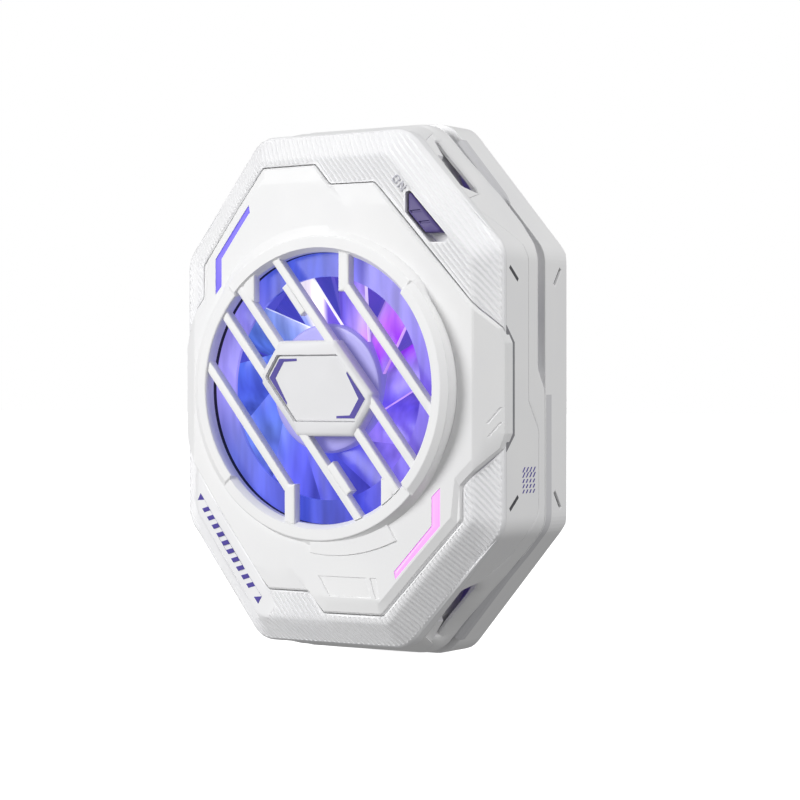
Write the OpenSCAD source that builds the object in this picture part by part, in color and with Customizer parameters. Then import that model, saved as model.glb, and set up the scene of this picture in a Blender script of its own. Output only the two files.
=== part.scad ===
// Magnetic phone cooling fan, standing on its lower edge.
// Millimetres. X runs to the right, Y from the air intake to the phone side, Z up.
// The origin is the middle of the footprint, at table height.
// Inside the modules, the fan axis is at X = Z = 0 and depth Y counts from the crest of the front frame.

/* [Outline] */
// Width across the side walls
body_w = 56; // [54:0.5:60]
// Height of the middle and rear shells
body_h = 79; // [78:0.5:84]
// How far the front frame stays below the shells at the top and bottom
frame_drop = 2; // [1:0.1:2.5]
// Height of the upright side walls, between the corner cuts
side_flat = 40; // [38:0.5:42]
// Width of the level edge at the top and bottom of the shells
body_flat = 23.6; // [22:0.2:26]
// Width of the level edge at the top and bottom of the front frame
frame_flat = 26; // [24:0.2:27]
// Radius of the outline's corners
corner_r = 5; // [3:0.5:6]
// Wall of the shells
wall = 1.4; // [1.2:0.1:1.6]

/* [Depths] */
// Depth of the front frame, behind its crest
frame_depth = 5.6; // [5.4:0.1:6.5]
// Depth of the middle housing's side walls
mid_depth = 6.5; // [6:0.1:7.5]
// Depth of the vent ring's side walls
vent_band = 2.8; // [2.4:0.1:3.2]
// Width of the groove in front of the rear shell
groove_w = 2.1; // [1.8:0.1:2.6]
// Depth of the rear shell
rear_depth = 7.25; // [7:0.05:8.5]
// Thickness of the rear shell's back wall
back_wall = 0.85; // [0.8:0.05:1]
// Chamfer round the back of the rear shell
back_chamfer = 0.8; // [0.5:0.1:0.8]
// Thickness of the contact pad
pad_t = 0.7; // [0.5:0.1:1.2]

/* [Front frame and cover] */
// Radius of the crowned front, about an upright axis
crown_r = 115; // [105:1:150]
// Width of the frame's outer bevel
bevel_w = 3.5; // [3:0.1:4]
// Depth of the frame's outer bevel
bevel_d = 2; // [1.6:0.1:2.2]
// Thickness of the frame's front plate
frame_t = 2; // [1.8:0.1:2.2]
// Height of the cover above the frame
cover_rise = 0.6; // [0.4:0.1:0.8]
// Thickness of the cover
cover_t = 1.5; // [1.3:0.1:1.6]
// Gap round the cover
cover_gap = 0.15; // [0.1:0.05:0.3]
// How far the cover's wings stand out of the side walls
wing_proud = 0.4; // [0.2:0.1:0.6]
// Depth of the light strips
strip_t = 0.5; // [0.4:0.1:0.7]

/* [Intake] */
// Radius of the intake
intake_r = 19.85; // [19.2:0.05:20.2]
// Width of the ring round the intake
ring_w = 2.45; // [2.2:0.05:2.6]
// Width of the ring's level face
ring_face = 1.45; // [1.2:0.05:1.8]
// Width of the lit band's flat face inside the intake
guide_face = 3.5; // [3:0.1:4]
// How far the ring stands out of the cover's crest
ring_proud = 0.75; // [0.6:0.05:1]
// Thickness of the ring's flange behind the cover
flange_t = 0.8; // [0.6:0.1:1]
// Width of the ring's flange behind the cover
flange_w = 1; // [0.8:0.1:1.2]
// Width of the grille bars
bar_w = 1.4; // [1.2:0.1:1.8]
// Thickness of the grille bars
bar_t = 1.4; // [1.2:0.1:1.6]
// Thickness of the badge housing in the grille
badge_t = 2.2; // [2:0.1:2.4]
// Depth of the recess that holds the badge plate
badge_recess = 0.8; // [0.6:0.1:1]

/* [Fan] */
// Running gap between the badge housing and the hub
fan_gap = 1.1; // [0.8:0.1:1.4]
// Radius of the hub
hub_r = 9.5; // [9.2:0.1:10]
// Depth of the hub
hub_h = 6.8; // [6.6:0.1:7.4]
// Wall of the hub
hub_t = 0.8; // [0.7:0.1:0.9]
// Gap between the blade tips and the duct
tip_gap = 0.65; // [0.5:0.05:0.9]
// Number of blades
blade_count = 11; // [7:1:12]
// Angle of the first blade from the X axis
blade_turn = 8.4; // [0:0.1:30]
// Thickness of a blade
blade_t = 0.8; // [0.6:0.1:1]
// Radius of the blade's camber
blade_camber = 7.5; // [6.5:0.5:9]
// Angle by which the blades lean back from the radial direction
blade_lean = 20; // [10:1:25]
// Gap between the hub and the motor seat
seat_gap = 1.1; // [0.9:0.1:1.4]
// Thickness of the motor seat and its struts
seat_t = 1; // [0.8:0.1:1.4]
// Wall of the duct
duct_t = 1.15; // [1:0.05:1.3]
// Radius of the shaft
shaft_r = 1; // [0.9:0.05:1.1]
// Radial running clearance of the shaft
shaft_fit = 0.03; // [0.02:0.01:0.06]

/* [Cooling stack] */
// Height of the heat sink's fins
fin_h = 3.6; // [3.2:0.1:4]
// Number of fins
fin_count = 32; // [24:4:36]
// Thickness of a fin
fin_t = 0.6; // [0.5:0.05:0.7]
// Thickness of the heat sink's base
sink_t = 1.4; // [1.2:0.1:1.8]
// Height of the heat sink's base
sink_h = 62; // [60:1:66]
// Side of the thermoelectric plates
tec_w = 26; // [24:0.5:27]
// Thickness of a thermoelectric plate
tec_plate = 0.7; // [0.6:0.05:0.9]
// Height of the pellets between the plates
pellet_h = 1.4; // [1.2:0.1:1.6]
// Pellets along one side
pellet_count = 6; // [5:1:7]
// Thickness of the thermal pad
gap_pad_t = 0.5; // [0.4:0.1:0.8]
// Thickness of the cold plate's flange
cold_t = 2; // [1.6:0.1:2.2]
// Gap between the cold plate's flange and the magnets
cold_gap = 1.1; // [0.8:0.1:1.4]
// Width of the cold plate's flange round its contact boss
cold_lip = 1.9; // [1.6:0.1:2.2]
// Radial width of the magnets
magnet_w = 3.8; // [3.4:0.1:4]
// Thickness of the magnets
magnet_t = 2; // [1.8:0.1:2.2]
// Number of magnets
magnet_count = 16; // [12:2:18]
// Thickness of the magnets' steel ring
yoke_t = 0.7; // [0.5:0.1:0.8]

/* [Switch and inlet] */
// Length of the switch window's outer edge
window_l = 8.9; // [8.5:0.1:9.3]
// Width of the switch window
window_w = 2.6; // [2.4:0.1:2.8]
// Travel of the slide switch
switch_travel = 1.5; // [1:0.1:1.8]
// Clearance of the knob in its window
knob_gap = 0.25; // [0.2:0.05:0.35]
// Width of the power inlet's shell
usb_w = 8.94; // [8.8:0.02:9.1]
// Height of the power inlet's shell
usb_h = 3.26; // [3.16:0.02:3.36]
// Length of the power inlet's shell
usb_l = 7.3; // [6.5:0.1:8]
// Thickness of the circuit boards
board_t = 1; // [0.8:0.1:1.2]
// Radius of the case screw bosses
boss_r = 2.2; // [2:0.1:2.4]
// Radius of the case screws
screw_r = 0.8; // [0.7:0.05:0.9]

/* [Hidden] */
$fn = 96;

// Small fits and reaches shared by the modules
fit = 0.05;
clear = 0.3;
eps = 0.01;
arc_steps = 6;
reach = 60;
white = "#f2f2f4";

// Height of the front frame
frame_h = body_h - 2 * frame_drop;

// Depth stack of the case
y_mid = frame_depth;
y_vent = y_mid + mid_depth;
y_groove = y_vent + vent_band;
y_rear = y_groove + groove_w;
y_back = y_rear + rear_depth;
y_pad = y_back + pad_t;
y_inner = y_back - back_wall;
y_ring = -cover_rise - ring_proud;

// Depth stack of the intake and the fan
cover_back = cover_t - cover_rise;
ring_r = intake_r + ring_w;
flange_r = ring_r + flange_w;
y_flange = cover_back + sag(flange_r) + fit;
y_led = y_flange + flange_t;
y_duct = y_led + board_t;
y_rebate = y_ring + 2.05;
y_guide = y_rebate + 0.75;
led_h = 0.7;
y_grille = y_ring + 0.35;
y_badge = y_ring + 0.1;
y_hub = y_badge + badge_t + fan_gap;
y_hub_back = y_hub + hub_h;
blade_front = y_hub + 0.5;
guide_back = blade_front - 0.5;
y_seat = y_hub_back + seat_gap;
y_fins = y_seat + seat_t;
tip_r = intake_r - tip_gap;
blade_root = hub_r - 2;
blade_back = 1.2;
blade_mid = 3.4;
blade_edge = 4.6;
duct_r = intake_r + duct_t;

// Motor: bearing holder, then the stator from the inside out, then the rotor's magnet and yoke
bearing_r = shaft_r + 1.4;
holder_r = bearing_r + 0.5;
core_r = holder_r + 0.9;
y_bearing = y_hub + 2.4;
bearing_back = y_seat + 0.4;
seat_r = hub_r - 1;
y_core = y_hub + 3.2;
core_back = y_hub_back - 1.6;
yoke_out = hub_r - hub_t - fit;
yoke_in = yoke_out - 0.6;
magnet_in = yoke_in - 0.9;
stator_out = magnet_in - 0.4;
pole_w = 1.8;
shoe_w = 6;
shoe_t = 0.7;
coil_w = 3.2;
coil_t = 0.7;
coil_out = sqrt(pow(stator_out - shoe_t, 2) - pow(coil_w / 2, 2)) - 2 * fit;

// Depth stack of the cooling parts
y_sink = y_fins + fin_h;
y_gap_pad = y_sink + sink_t;
y_hot = y_gap_pad + gap_pad_t;
y_pellet = y_hot + tec_plate;
y_cold = y_pellet + pellet_h;
y_flat = y_cold + tec_plate;
y_boss = y_flat + cold_t;
magnet_r = body_w / 2 - wall - 0.2;
cold_flange_r = magnet_r - magnet_w - cold_gap;
cold_r = cold_flange_r - cold_lip;
y_magnet = y_inner - magnet_t;
y_yoke = y_magnet - yoke_t;

// Foam round the thermoelectric plates, and the sensor bead in it
foam_gap = 0.2;
foam_w = 2.8;
sensor_w = 1.6;
sensor_t = 1;

// Places of the screws
boss_gap = 0.9;
boss_x = body_w / 2 - wall - boss_r - boss_gap;
boss_z = side_flat / 2 - 1.2;
post_r = 2;
post_x = 12;
post_z = 27;
lug_r = 2;
lug_at = (flange_r + clear) / sqrt(2);
sink_w = 2 * (boss_x - boss_r - 0.4);

// Power inlet and its board
y_usb = (y_rear + y_inner) / 2;
y_board = y_usb - usb_h / 2 - board_t;
usb_wall = 0.25;
usb_back = 0.6;
tongue_w = usb_w - 2.24;
tongue_t = 0.7;
tongue_in = 0.8;
board_w = 20;
board_low = -body_h / 2 + 1.6;
board_high = board_low + 8.6;
board_post_x = 7;

// Outlines, anticlockwise from the lower right
body_pts = octagon(body_w, body_h, body_flat, side_flat);
frame_pts = octagon(body_w, frame_h, frame_flat, side_flat);
inner_pts = grow(frame_pts, -wall);
sink_pts = octagon(sink_w, sink_h, 24, 34);

// Half of the cover's outline. The other half is the same turned by half a turn.
wing_x = body_w / 2 + wing_proud;
wing_z = 7.9;
cover_top = frame_h / 2 - 4.9;
cover_flat = frame_flat / 2 - 2.4;
cover_side = body_w / 2 - 5.2;
notch_z = cover_top - 3;
cover_half = [
    [cover_flat, -cover_top], [cover_side, 13.9 - cover_top], [cover_side, 18.8 - cover_top],
    [wing_x, -wing_z], [wing_x, wing_z], [wing_x - 3.4, wing_z + 3.2],
    [cover_flat - 0.5, notch_z - 0.9], [cover_flat - 1.4, notch_z], [1.8, notch_z], [-0.8, cover_top]
];
cover_pts = concat(cover_half, turned(cover_half));
wing_crease = body_w / 2 - 3.4;
wing_slope = 0.84;

// Light strip on the lower right. The other is the same turned by half a turn.
strip_w = 1.3;
strip_clear = 1.77;
strip_out = cover_side - 3;
strip_in = strip_out - strip_w;
strip_tip = -sqrt(pow(ring_r + strip_clear, 2) - strip_in * strip_in);
strip_bend = 13.1 - cover_top;
strip_end = 5.3 - cover_top;
strip_pts = [
    [strip_out, strip_tip + strip_w], [strip_in, strip_tip], [strip_in, strip_bend],
    [cover_flat + 2.1, strip_end + 1.1], [cover_flat + 2.3, strip_end], [strip_out, strip_bend]
];

// Switch window on the upper right corner, and the way the knob slides
corner_run = [(body_w - frame_flat) / 2, -(frame_h - side_flat) / 2];
slide_dir = unit(corner_run);
slide_out = [-slide_dir.y, slide_dir.x];
corner_mid = [(body_w + frame_flat) / 4, (frame_h + side_flat) / 4];
window_mid = corner_mid - slide_out * 5.9 + slide_dir * 1.2;
window_tip = 0.7;
window_end = window_l / 2 + window_tip / 2;
window_lean = -slide_dir.y / slide_dir.x;
knob_sunk = 0.35;
knob_back = sag(window_mid.x + window_l / 2) + knob_sunk + 1;
y_switch = knob_back + 1.2;
switch_h = 2.2;
ear_t = 0.8;
ear_w = 2.2;
ear_l = window_end + 1.6;
post_at = ear_l - 0.9;
pin_l = 1;
pin_w = 0.9;
pin_in = 1.1;

// Slits in the side walls
slit_w = 0.55;
slit_l = 3;
slit_deep = 0.4;
slit_tilt = -37;
slit_z = side_flat / 2 - 3.7;
slit_in = 2.2;
slit_back = 3.6;

// Gasket in the groove: gap to the shells outside it, and thickness
gasket_gap = 0.25;
gasket_t = 1.1;

// Ribs in the vent windows: depth into the case, root in the wall, reach into the bar, thickness and places
rib_w = 2.3;
rib_root = 0.2;
rib_in = 1.6;
rib_t = 0.7;
rib_first = 7.4;
rib_pitch = 3.3;

// Vents: the band's front edge and back edge as (height, depth), from the top down
vent_top = frame_h / 2 + 0.9;
vent_low = side_flat / 2 + 7;
vent_front = y_mid + 1;
bar_front = vent_front + 3;
band_front = [
    [body_h, bar_front], [vent_low, bar_front], [vent_low - 4, y_vent], [-1.8, y_vent],
    [-6, y_groove + 0.1], [-17, y_groove + 0.1], [-vent_low + 4, y_vent], [-vent_low, bar_front],
    [-body_h, bar_front]
];
band_back = [
    [body_h, y_groove], [2.9, y_groove], [-0.2, y_rear], [-19, y_rear], [-vent_low, y_groove],
    [-body_h, y_groove]
];

// Grille: bars run down to the right
bar_dir = [0.625, -0.78];
bar_out = [0.78, 0.625];
bar_outer = 13.2;
bar_middle = 6.1;
bar_split = 1.5;
lug_w = 1;
lug_from = 10;
lug_to = 15.4;
gusset_pts = [[-13.6, 13.9], [-11.1, 12.8], [-11.1, 16.8], [-12.6, 16.8]];
hex_half = [[6.6, -7], [10.3, -1.4], [3.4, 7]];
hex_pts = concat(hex_half, turned(hex_half));
plate_half = [[6.8, -4.8], [8.8, -1.7], [3.7, 4.8]];
plate_pts = concat(plate_half, turned(plate_half));

function unit(v) = v / norm(v);
function turned(pts) = [for (p = pts) -p];
function sag(x) = crown_r - sqrt(crown_r * crown_r - x * x);
function octagon(w, h, flat_w, flat_h) = let (
    right = [[w / 2, -flat_h / 2], [w / 2, flat_h / 2], [flat_w / 2, h / 2], [-flat_w / 2, h / 2]]
) concat(right, turned(right));

// Outward normal of the edge that starts at point i
function edge_out(pts, i) = let (
    e = unit(pts[(i + 1) % len(pts)] - pts[i])
) [e.y, -e.x];

// Outline moved outward by d
function grow(pts, d) = [
    for (i = [0 : len(pts) - 1])
        let (a = edge_out(pts, (i + len(pts) - 1) % len(pts)), b = edge_out(pts, i))
        pts[i] + (a + b) * d / (1 + a * b)
];

// Points on the arc that rounds corner i of a convex outline
function corner_arc(pts, i, r) = let (
    a = edge_out(pts, (i + len(pts) - 1) % len(pts)),
    b = edge_out(pts, i),
    middle = pts[i] - (a + b) * r / (1 + a * b),
    start = atan2(a.y, a.x),
    turn = acos(a * b)
) [for (k = [0 : arc_steps]) middle + r * [cos(start + turn * k / arc_steps), sin(start + turn * k / arc_steps)]];

// Whole model from the working frame to the part's own frame
module place() {
    translate([0, -(y_ring + y_pad) / 2, body_h / 2]) children();
}

// Convex outline with round corners
module rounded(pts, r) {
    polygon([for (i = [0 : len(pts) - 1]) each corner_arc(pts, i, r)]);
}

// Flat shape in X and Z, made solid from depth y0 to y1
module slab(y0, y1) {
    translate([0, y1, 0]) rotate([90, 0, 0]) linear_extrude(y1 - y0) children();
}

// Round bar along the depth
module rod(r, y0, y1) {
    translate([0, y0, 0]) rotate([-90, 0, 0]) cylinder(r = r, h = y1 - y0);
}

// Flat ring along the depth
module collar(r_in, r_out, y0, y1) {
    difference() {
        rod(r_out, y0, y1);
        rod(r_in, y0 - 1, y1 + 1);
    }
}

// Everything behind the crowned front at this depth
module crown(level) {
    translate([0, level + crown_r, 0]) cylinder(r = crown_r, h = 3 * body_h, center = true, $fn = 240);
}

// Everything on the far side of a plane
module beyond(point, normal) {
    n = unit(normal);
    translate(point) rotate([0, acos(n.z), atan2(n.y, n.x)])
        translate([-reach, -reach, 0]) cube([2 * reach, 2 * reach, reach]);
}

// Bevel round the front frame: one plane for each edge of the outline
module bevels(pts, w, d) {
    for (i = [0 : len(pts) - 1]) {
        p = pts[i];
        q = pts[(i + 1) % len(pts)];
        m = (p + q) / 2 - edge_out(pts, i) * w;
        a = [p.x, sag(p.x) + d, p.y];
        b = [q.x, sag(q.x) + d, q.y];
        c = [m.x, sag(m.x), m.y];
        n = cross(b - a, c - a);
        beyond(a, n.y < 0 ? n : -n);
    }
}

// Chamfer of size c round the back edge of an outline
module back_chamfers(pts, y, c) {
    for (i = [0 : len(pts) - 1]) {
        out = edge_out(pts, i);
        beyond([pts[i].x - c * out.x, y, pts[i].y - c * out.y], [out.x, 1, out.y]);
    }
}

// Four copies at plus and minus x and z
module four(x, z) {
    for (sx = [-1, 1], sz = [-1, 1]) translate([sx * x, 0, sz * z]) children();
}

// Crowned front whose sides fall away as the cover's wings do
module winged_crown(level) {
    difference() {
        crown(level);
        for (s = [-1, 1])
            beyond([s * wing_crease, level + sag(wing_crease), 0], [s * wing_slope, -1, 0]);
    }
}

// Space that the cover takes in the frame and the middle housing
module cover_recess() {
    difference() {
        slab(-reach / 4, y_vent) polygon(grow(cover_pts, cover_gap));
        winged_crown(cover_back);
    }
}

// Outline of the switch window, cut short at its lower end. Its upper end is upright and its lower end level.
function window_pts(cut) = let (
    inner = -window_w / 2,
    tip = window_w / 2 - window_tip,
    run = window_w - window_tip
) [for (p = [
    [run * window_lean - window_end, inner], [window_end - run / window_lean - cut, inner],
    [window_end - cut, tip], [window_l / 2 - cut, -inner], [-window_l / 2, -inner], [-window_end, tip]
]) window_mid + slide_dir * p.x + slide_out * p.y];

// Box along the switch's slide, centred on its window
module switch_box(length, width, y0, y1) {
    translate([window_mid.x, y0, window_mid.y])
        rotate([0, atan2(-slide_dir.y, slide_dir.x), 0])
            translate([-length / 2, 0, -width / 2]) cube([length, y1 - y0, width]);
}

module front_frame() color(white) place() difference() {
    intersection() {
        slab(-1, y_mid) rounded(frame_pts, corner_r);
        crown(0);
    }
    bevels(frame_pts, bevel_w, bevel_d);
    intersection() {
        slab(0, y_mid + 1) rounded(inner_pts, corner_r - wall);
        difference() {
            crown(frame_t);
            for (s = [-1, 1]) switch_post(s);
        }
    }
    cover_recess();
    rod(flange_r + clear, -2, y_mid + 1);
    slab(-1, y_mid) polygon(window_pts(0));
}

// Post under the frame that carries one end of the switch
module switch_post(s) {
    at = window_mid + slide_dir * s * post_at;
    translate([at.x, 0, at.y]) rod(0.9, -1, y_switch);
}

module front_cover() color(white) place() difference() {
    intersection() {
        slab(-reach / 4, y_vent) polygon(cover_pts);
        winged_crown(-cover_rise);
    }
    winged_crown(cover_back);
    rod(ring_r + fit, -5, y_vent);
    strip_pocket(1);
    strip_pocket(-1);
}

// Pocket for a light strip in the cover
module strip_pocket(s) {
    difference() {
        slab(-3, y_vent) polygon(s * strip_pts);
        crown(strip_t - cover_rise);
    }
}

module light_strip(s) {
    difference() {
        intersection() {
            slab(-3, y_vent) polygon(s * strip_pts);
            crown(-cover_rise);
        }
        crown(strip_t - cover_rise);
    }
}

module light_strip_right() color("#f6b8ff") place() light_strip(1);

module light_strip_left() color("#6f63d8") place() light_strip(-1);

// Ring round the intake, with its flange behind the cover and a rebate for the lit band
module intake_ring() rotate([-90, 0, 0]) rotate_extrude() polygon([
    [intake_r, y_ring + 0.2], [intake_r + 0.2, y_ring], [intake_r + ring_face, y_ring],
    [ring_r, y_ring + 0.65], [ring_r, y_flange], [flange_r, y_flange], [flange_r, y_led],
    [duct_r, y_led], [duct_r, y_rebate], [intake_r, y_rebate]
]);

module ring_gasket() color("#1a1a20") place() collar(intake_r, duct_r - fit, y_rebate, y_guide);

module light_guide_ring() color("#9a7cff") place() {
    collar(intake_r, duct_r - fit, y_guide, y_led - led_h);
    collar(intake_r - guide_face, intake_r + eps, y_guide, guide_back);
}

module led_board() color("#1d5b3a") place() collar(intake_r, flange_r, y_led, y_duct);

module leds() color("#e6dcff") place()
    for (i = [0 : 11]) rotate([0, 30 * i, 0])
        translate([intake_r + 0.15, y_led - led_h, -0.8]) cube([duct_t - 0.35, led_h, 1.6]);

// One slanted bar of the grille at this distance from the middle
module bar(out, t0, t1) {
    a = bar_out * (out - bar_w / 2);
    b = bar_out * (out + bar_w / 2);
    polygon([a + bar_dir * t0, a + bar_dir * t1, b + bar_dir * t1, b + bar_dir * t0]);
}

// Bars of one half of the grille
module half_bars() {
    bar(-bar_outer, -reach / 2, 8.2);
    translate([-5.7, -intake_r]) square([1.9, intake_r - 14]);
    bar(-bar_middle, -reach / 2, reach / 2);
    bar(-bar_split, -reach / 2, -6);
    polygon(gusset_pts);
    bar(lug_w - bar_middle, lug_from, lug_to);
}

module intake_grille() color(white) place() difference() {
    union() {
        intake_ring();
        intersection() {
            slab(y_grille, y_grille + bar_t) {
                half_bars();
                rotate(180) half_bars();
            }
            rod(intake_r + 0.6, -5, 5);
        }
        slab(y_badge, y_badge + badge_t) polygon(hex_pts);
    }
    slab(y_badge - 1, y_badge + badge_recess) polygon(plate_pts);
}

module badge_plate() color("#e9e9ee") place()
    slab(y_badge + badge_recess / 2, y_badge + badge_recess) polygon(grow(plate_pts, -fit));

// Everything in front of a line given as (height, depth) points
module before(line) {
    translate([-reach, 0, 0]) rotate([90, 0, 90]) linear_extrude(2 * reach) polygon(concat(
        [[-reach, line[len(line) - 1][0]], [-reach, line[0][0]]],
        [for (p = line) [p[1], p[0]]]
    ));
}

// Middle shell without its split, from depth y0 to y1
module housing_tube(y0, y1) {
    difference() {
        slab(y0, y1) rounded(body_pts, corner_r);
        slab(y0 - 1, y1 + 1) rounded(inner_pts, corner_r - wall);
        for (s = [-1, 1])
            beyond([0, y_mid, s * frame_h / 2], [0, (frame_h - body_h) / 2 / mid_depth, s]);
    }
}

// Vent window through one corner
module vent_window(sx, sz) {
    x0 = body_flat / 2 + 0.4;
    mirror([sx < 0 ? 1 : 0, 0, 0]) mirror([0, 0, sz < 0 ? 1 : 0])
        translate([x0, 0, 0]) rotate([90, 0, 90]) linear_extrude(body_w) polygon([
            [vent_front, vent_top], [bar_front, vent_top], [bar_front, vent_low], [vent_front, vent_low + 3.5]
        ]);
}

// Slanted slit in both side walls
module side_slit(y, z, tilt) {
    for (s = [-1, 1]) translate([s * body_w / 2, y, z]) rotate([tilt, 0, 0])
        cube([2 * slit_deep, slit_w, slit_l], center = true);
}

// Ribs inside the vent windows
module vent_ribs() {
    far = corner_mid * slide_out - wall;
    for (sx = [-1, 1], sz = [-1, 1], k = [0 : 2])
        mirror([sx < 0 ? 1 : 0, 0, 0]) mirror([0, 0, sz < 0 ? 1 : 0])
            rotate([0, -atan2(slide_out.y, slide_out.x), 0])
                translate([far - rib_w, y_mid, rib_first + rib_pitch * k])
                    cube([rib_w + rib_root, bar_front - y_mid + rib_in, rib_t]);
}

module mid_housing() color(white) place() difference() {
    union() {
        difference() {
            intersection() {
                housing_tube(y_mid, y_rear);
                before(band_front);
            }
            for (sx = [-1, 1], sz = [-1, 1]) vent_window(sx, sz);
        }
        four(boss_x, boss_z) rod(boss_r, y_mid, y_rear);
        for (sx = [-1, 1], sz = [-1, 1]) translate([sx * boss_x, y_mid, sz * boss_z - boss_r / 2])
            mirror([sx < 0 ? 1 : 0, 0, 0]) cube([body_w / 2 - wall / 2 - boss_x, mid_depth, boss_r]);
        vent_ribs();
    }
    cover_recess();
    four(boss_x, boss_z) rod(screw_r + 0.02, y_vent - 4, y_rear + 1);
    side_slit(y_mid + slit_in, slit_z, -slit_tilt);
    side_slit(y_mid + slit_in, -slit_z, slit_tilt);
}

module vent_ring() color(white) place() difference() {
    intersection() {
        housing_tube(y_mid, y_rear);
        before(band_back);
    }
    before(band_front);
    difference() {
        vent_ribs();
        slab(bar_front - reach, bar_front) square(3 * body_h, center = true);
    }
}

module seam_gasket() color("#3a3a40") place() difference() {
    slab(y_groove, y_rear) rounded(grow(body_pts, -wall - gasket_gap), corner_r - wall);
    slab(y_groove - 1, y_rear + 1) rounded(grow(body_pts, -wall - gasket_gap - gasket_t), corner_r - wall - gasket_t);
    four(boss_x, boss_z) rod(boss_r + fit, y_groove - 1, y_rear + 1);
}

module rear_shell() color(white) place() difference() {
    union() {
        difference() {
            slab(y_rear, y_back) rounded(body_pts, corner_r);
            back_chamfers(body_pts, y_back, back_chamfer);
            slab(y_rear - 1, y_inner) rounded(grow(body_pts, -wall), corner_r - wall);
        }
        four(boss_x, boss_z) rod(boss_r, y_rear, y_inner + eps);
        four(post_x, post_z) rod(post_r, y_gap_pad, y_inner + eps);
        for (s = [-1, 1]) translate([s * board_post_x, 0, (board_low + board_high) / 2])
            rod(1.4, y_board + board_t, y_inner + eps);
    }
    rod(cold_r + fit, y_rear, y_back + 1);
    four(boss_x, boss_z) {
        rod(screw_r + 0.1, y_rear - 1, y_back + 1);
        rod(2 * screw_r + 0.1, y_back - 1.4, y_back + 1);
    }
    four(post_x, post_z) rod(0.62, y_gap_pad - 1, y_gap_pad + 5);
    translate([0, 0, -body_h / 2 - 1]) inlet_shape(2 * fit, 4);
    side_slit(y_back - slit_back, slit_z, slit_tilt);
    side_slit(y_back - slit_back, -slit_z, -slit_tilt);
}

// Rounded outline of the power inlet, made solid upwards
module inlet_shape(grow_by, height) {
    r = usb_h / 2 + grow_by;
    translate([0, y_usb, 0]) linear_extrude(height) {
        square([usb_w - usb_h, 2 * r], center = true);
        for (s = [-1, 1]) translate([s * (usb_w - usb_h) / 2, 0]) circle(r);
    }
}

module usb_shell() color("silver") place() difference() {
    translate([0, 0, -body_h / 2]) inlet_shape(0, usb_l);
    translate([0, 0, -body_h / 2 - 1]) inlet_shape(-usb_wall, usb_l - usb_back + 1);
}

module usb_tongue() color("#202024") place()
    translate([-tongue_w / 2, y_usb - tongue_t / 2, tongue_in - body_h / 2])
        cube([tongue_w, tongue_t, usb_l - usb_back - tongue_in]);

module main_board() color("#1d5b3a") place() translate([-board_w / 2, y_board, board_low])
    cube([board_w, board_t, board_high - board_low]);

module board_chips() color("#202024") place() {
    for (chip = [[-6, 4, 0.8], [0, 4.6, 1], [6, 3, 0.7]])
        translate([chip[0] - chip[1] / 2, y_board - chip[2], (board_low + board_high - chip[1]) / 2])
            cube([chip[1], chip[2], chip[1]]);
}

module contact_pad() color("#d8d8dc") place() rod(cold_r - 0.4, y_back, y_pad);

module cold_plate() color("silver") place() {
    rod(cold_flange_r, y_flat, y_boss);
    rod(cold_r, y_boss - eps, y_back);
}

module magnets() color("#8a8d92") place()
    for (i = [0 : magnet_count - 1]) rotate([0, i * 360 / magnet_count, 0])
        translate([0, y_magnet, 0]) rotate([-90, 0, 0]) rotate_extrude(angle = 360 / magnet_count - 1)
            translate([magnet_r - magnet_w, 0]) square([magnet_w, magnet_t]);

module magnet_yoke() color("#70747a") place() collar(magnet_r - magnet_w, magnet_r, y_yoke, y_magnet);

// Square plate across the fan axis
module plate(side, y0, y1) {
    translate([-side / 2, y0, -side / 2]) cube([side, y1 - y0, side]);
}

module thermal_pad() color("#8fa7c4") place() plate(tec_w, y_gap_pad, y_hot);

module tec_hot_plate() color("#eeeeea") place() plate(tec_w, y_hot, y_pellet);

module tec_cold_plate() color("#eeeeea") place() plate(tec_w, y_cold, y_flat);

module tec_pellets() color("#6d6f74") place() {
    pitch = (tec_w - 3) / (pellet_count - 1);
    for (i = [0 : pellet_count - 1], k = [0 : pellet_count - 1])
        translate([-tec_w / 2 + 0.7 + i * pitch, y_pellet, -tec_w / 2 + 0.7 + k * pitch])
            cube([1.6, pellet_h, 1.6]);
}

module foam_collar() color("#33343a") place() difference() {
    plate(tec_w + 2 * foam_gap + 2 * foam_w, y_gap_pad, y_flat);
    plate(tec_w + 2 * foam_gap, y_gap_pad - 1, y_flat + 1);
    sensor_block(foam_gap);
}

module thermistor() color("#2b2b2b") place() sensor_block(0);

// Sensor bead on the cold plate above the thermoelectric plates, grown by a gap
module sensor_block(gap) {
    translate([-sensor_w / 2 - gap, y_flat - sensor_t - gap, tec_w / 2 + foam_gap + foam_w / 2 - sensor_w / 2 - gap])
        cube([sensor_w + 2 * gap, sensor_t + 2 * gap, sensor_w + 2 * gap]);
}

module heat_sink() color("silver") place() difference() {
    union() {
        slab(y_sink, y_gap_pad) rounded(sink_pts, 3);
        for (i = [0 : fin_count - 1]) rotate([0, (i + 0.5) * 360 / fin_count, 0])
            translate([5, y_fins, -fin_t / 2]) cube([lug_at * sqrt(2) - 5, fin_h + eps, fin_t]);
        four(lug_at, lug_at) rod(lug_r, y_fins, y_sink + eps);
    }
    four(lug_at, lug_at) rod(0.62, y_fins - 1, y_gap_pad + 1);
    four(post_x, post_z) rod(0.7, y_sink - 1, y_gap_pad + 1);
}

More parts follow.
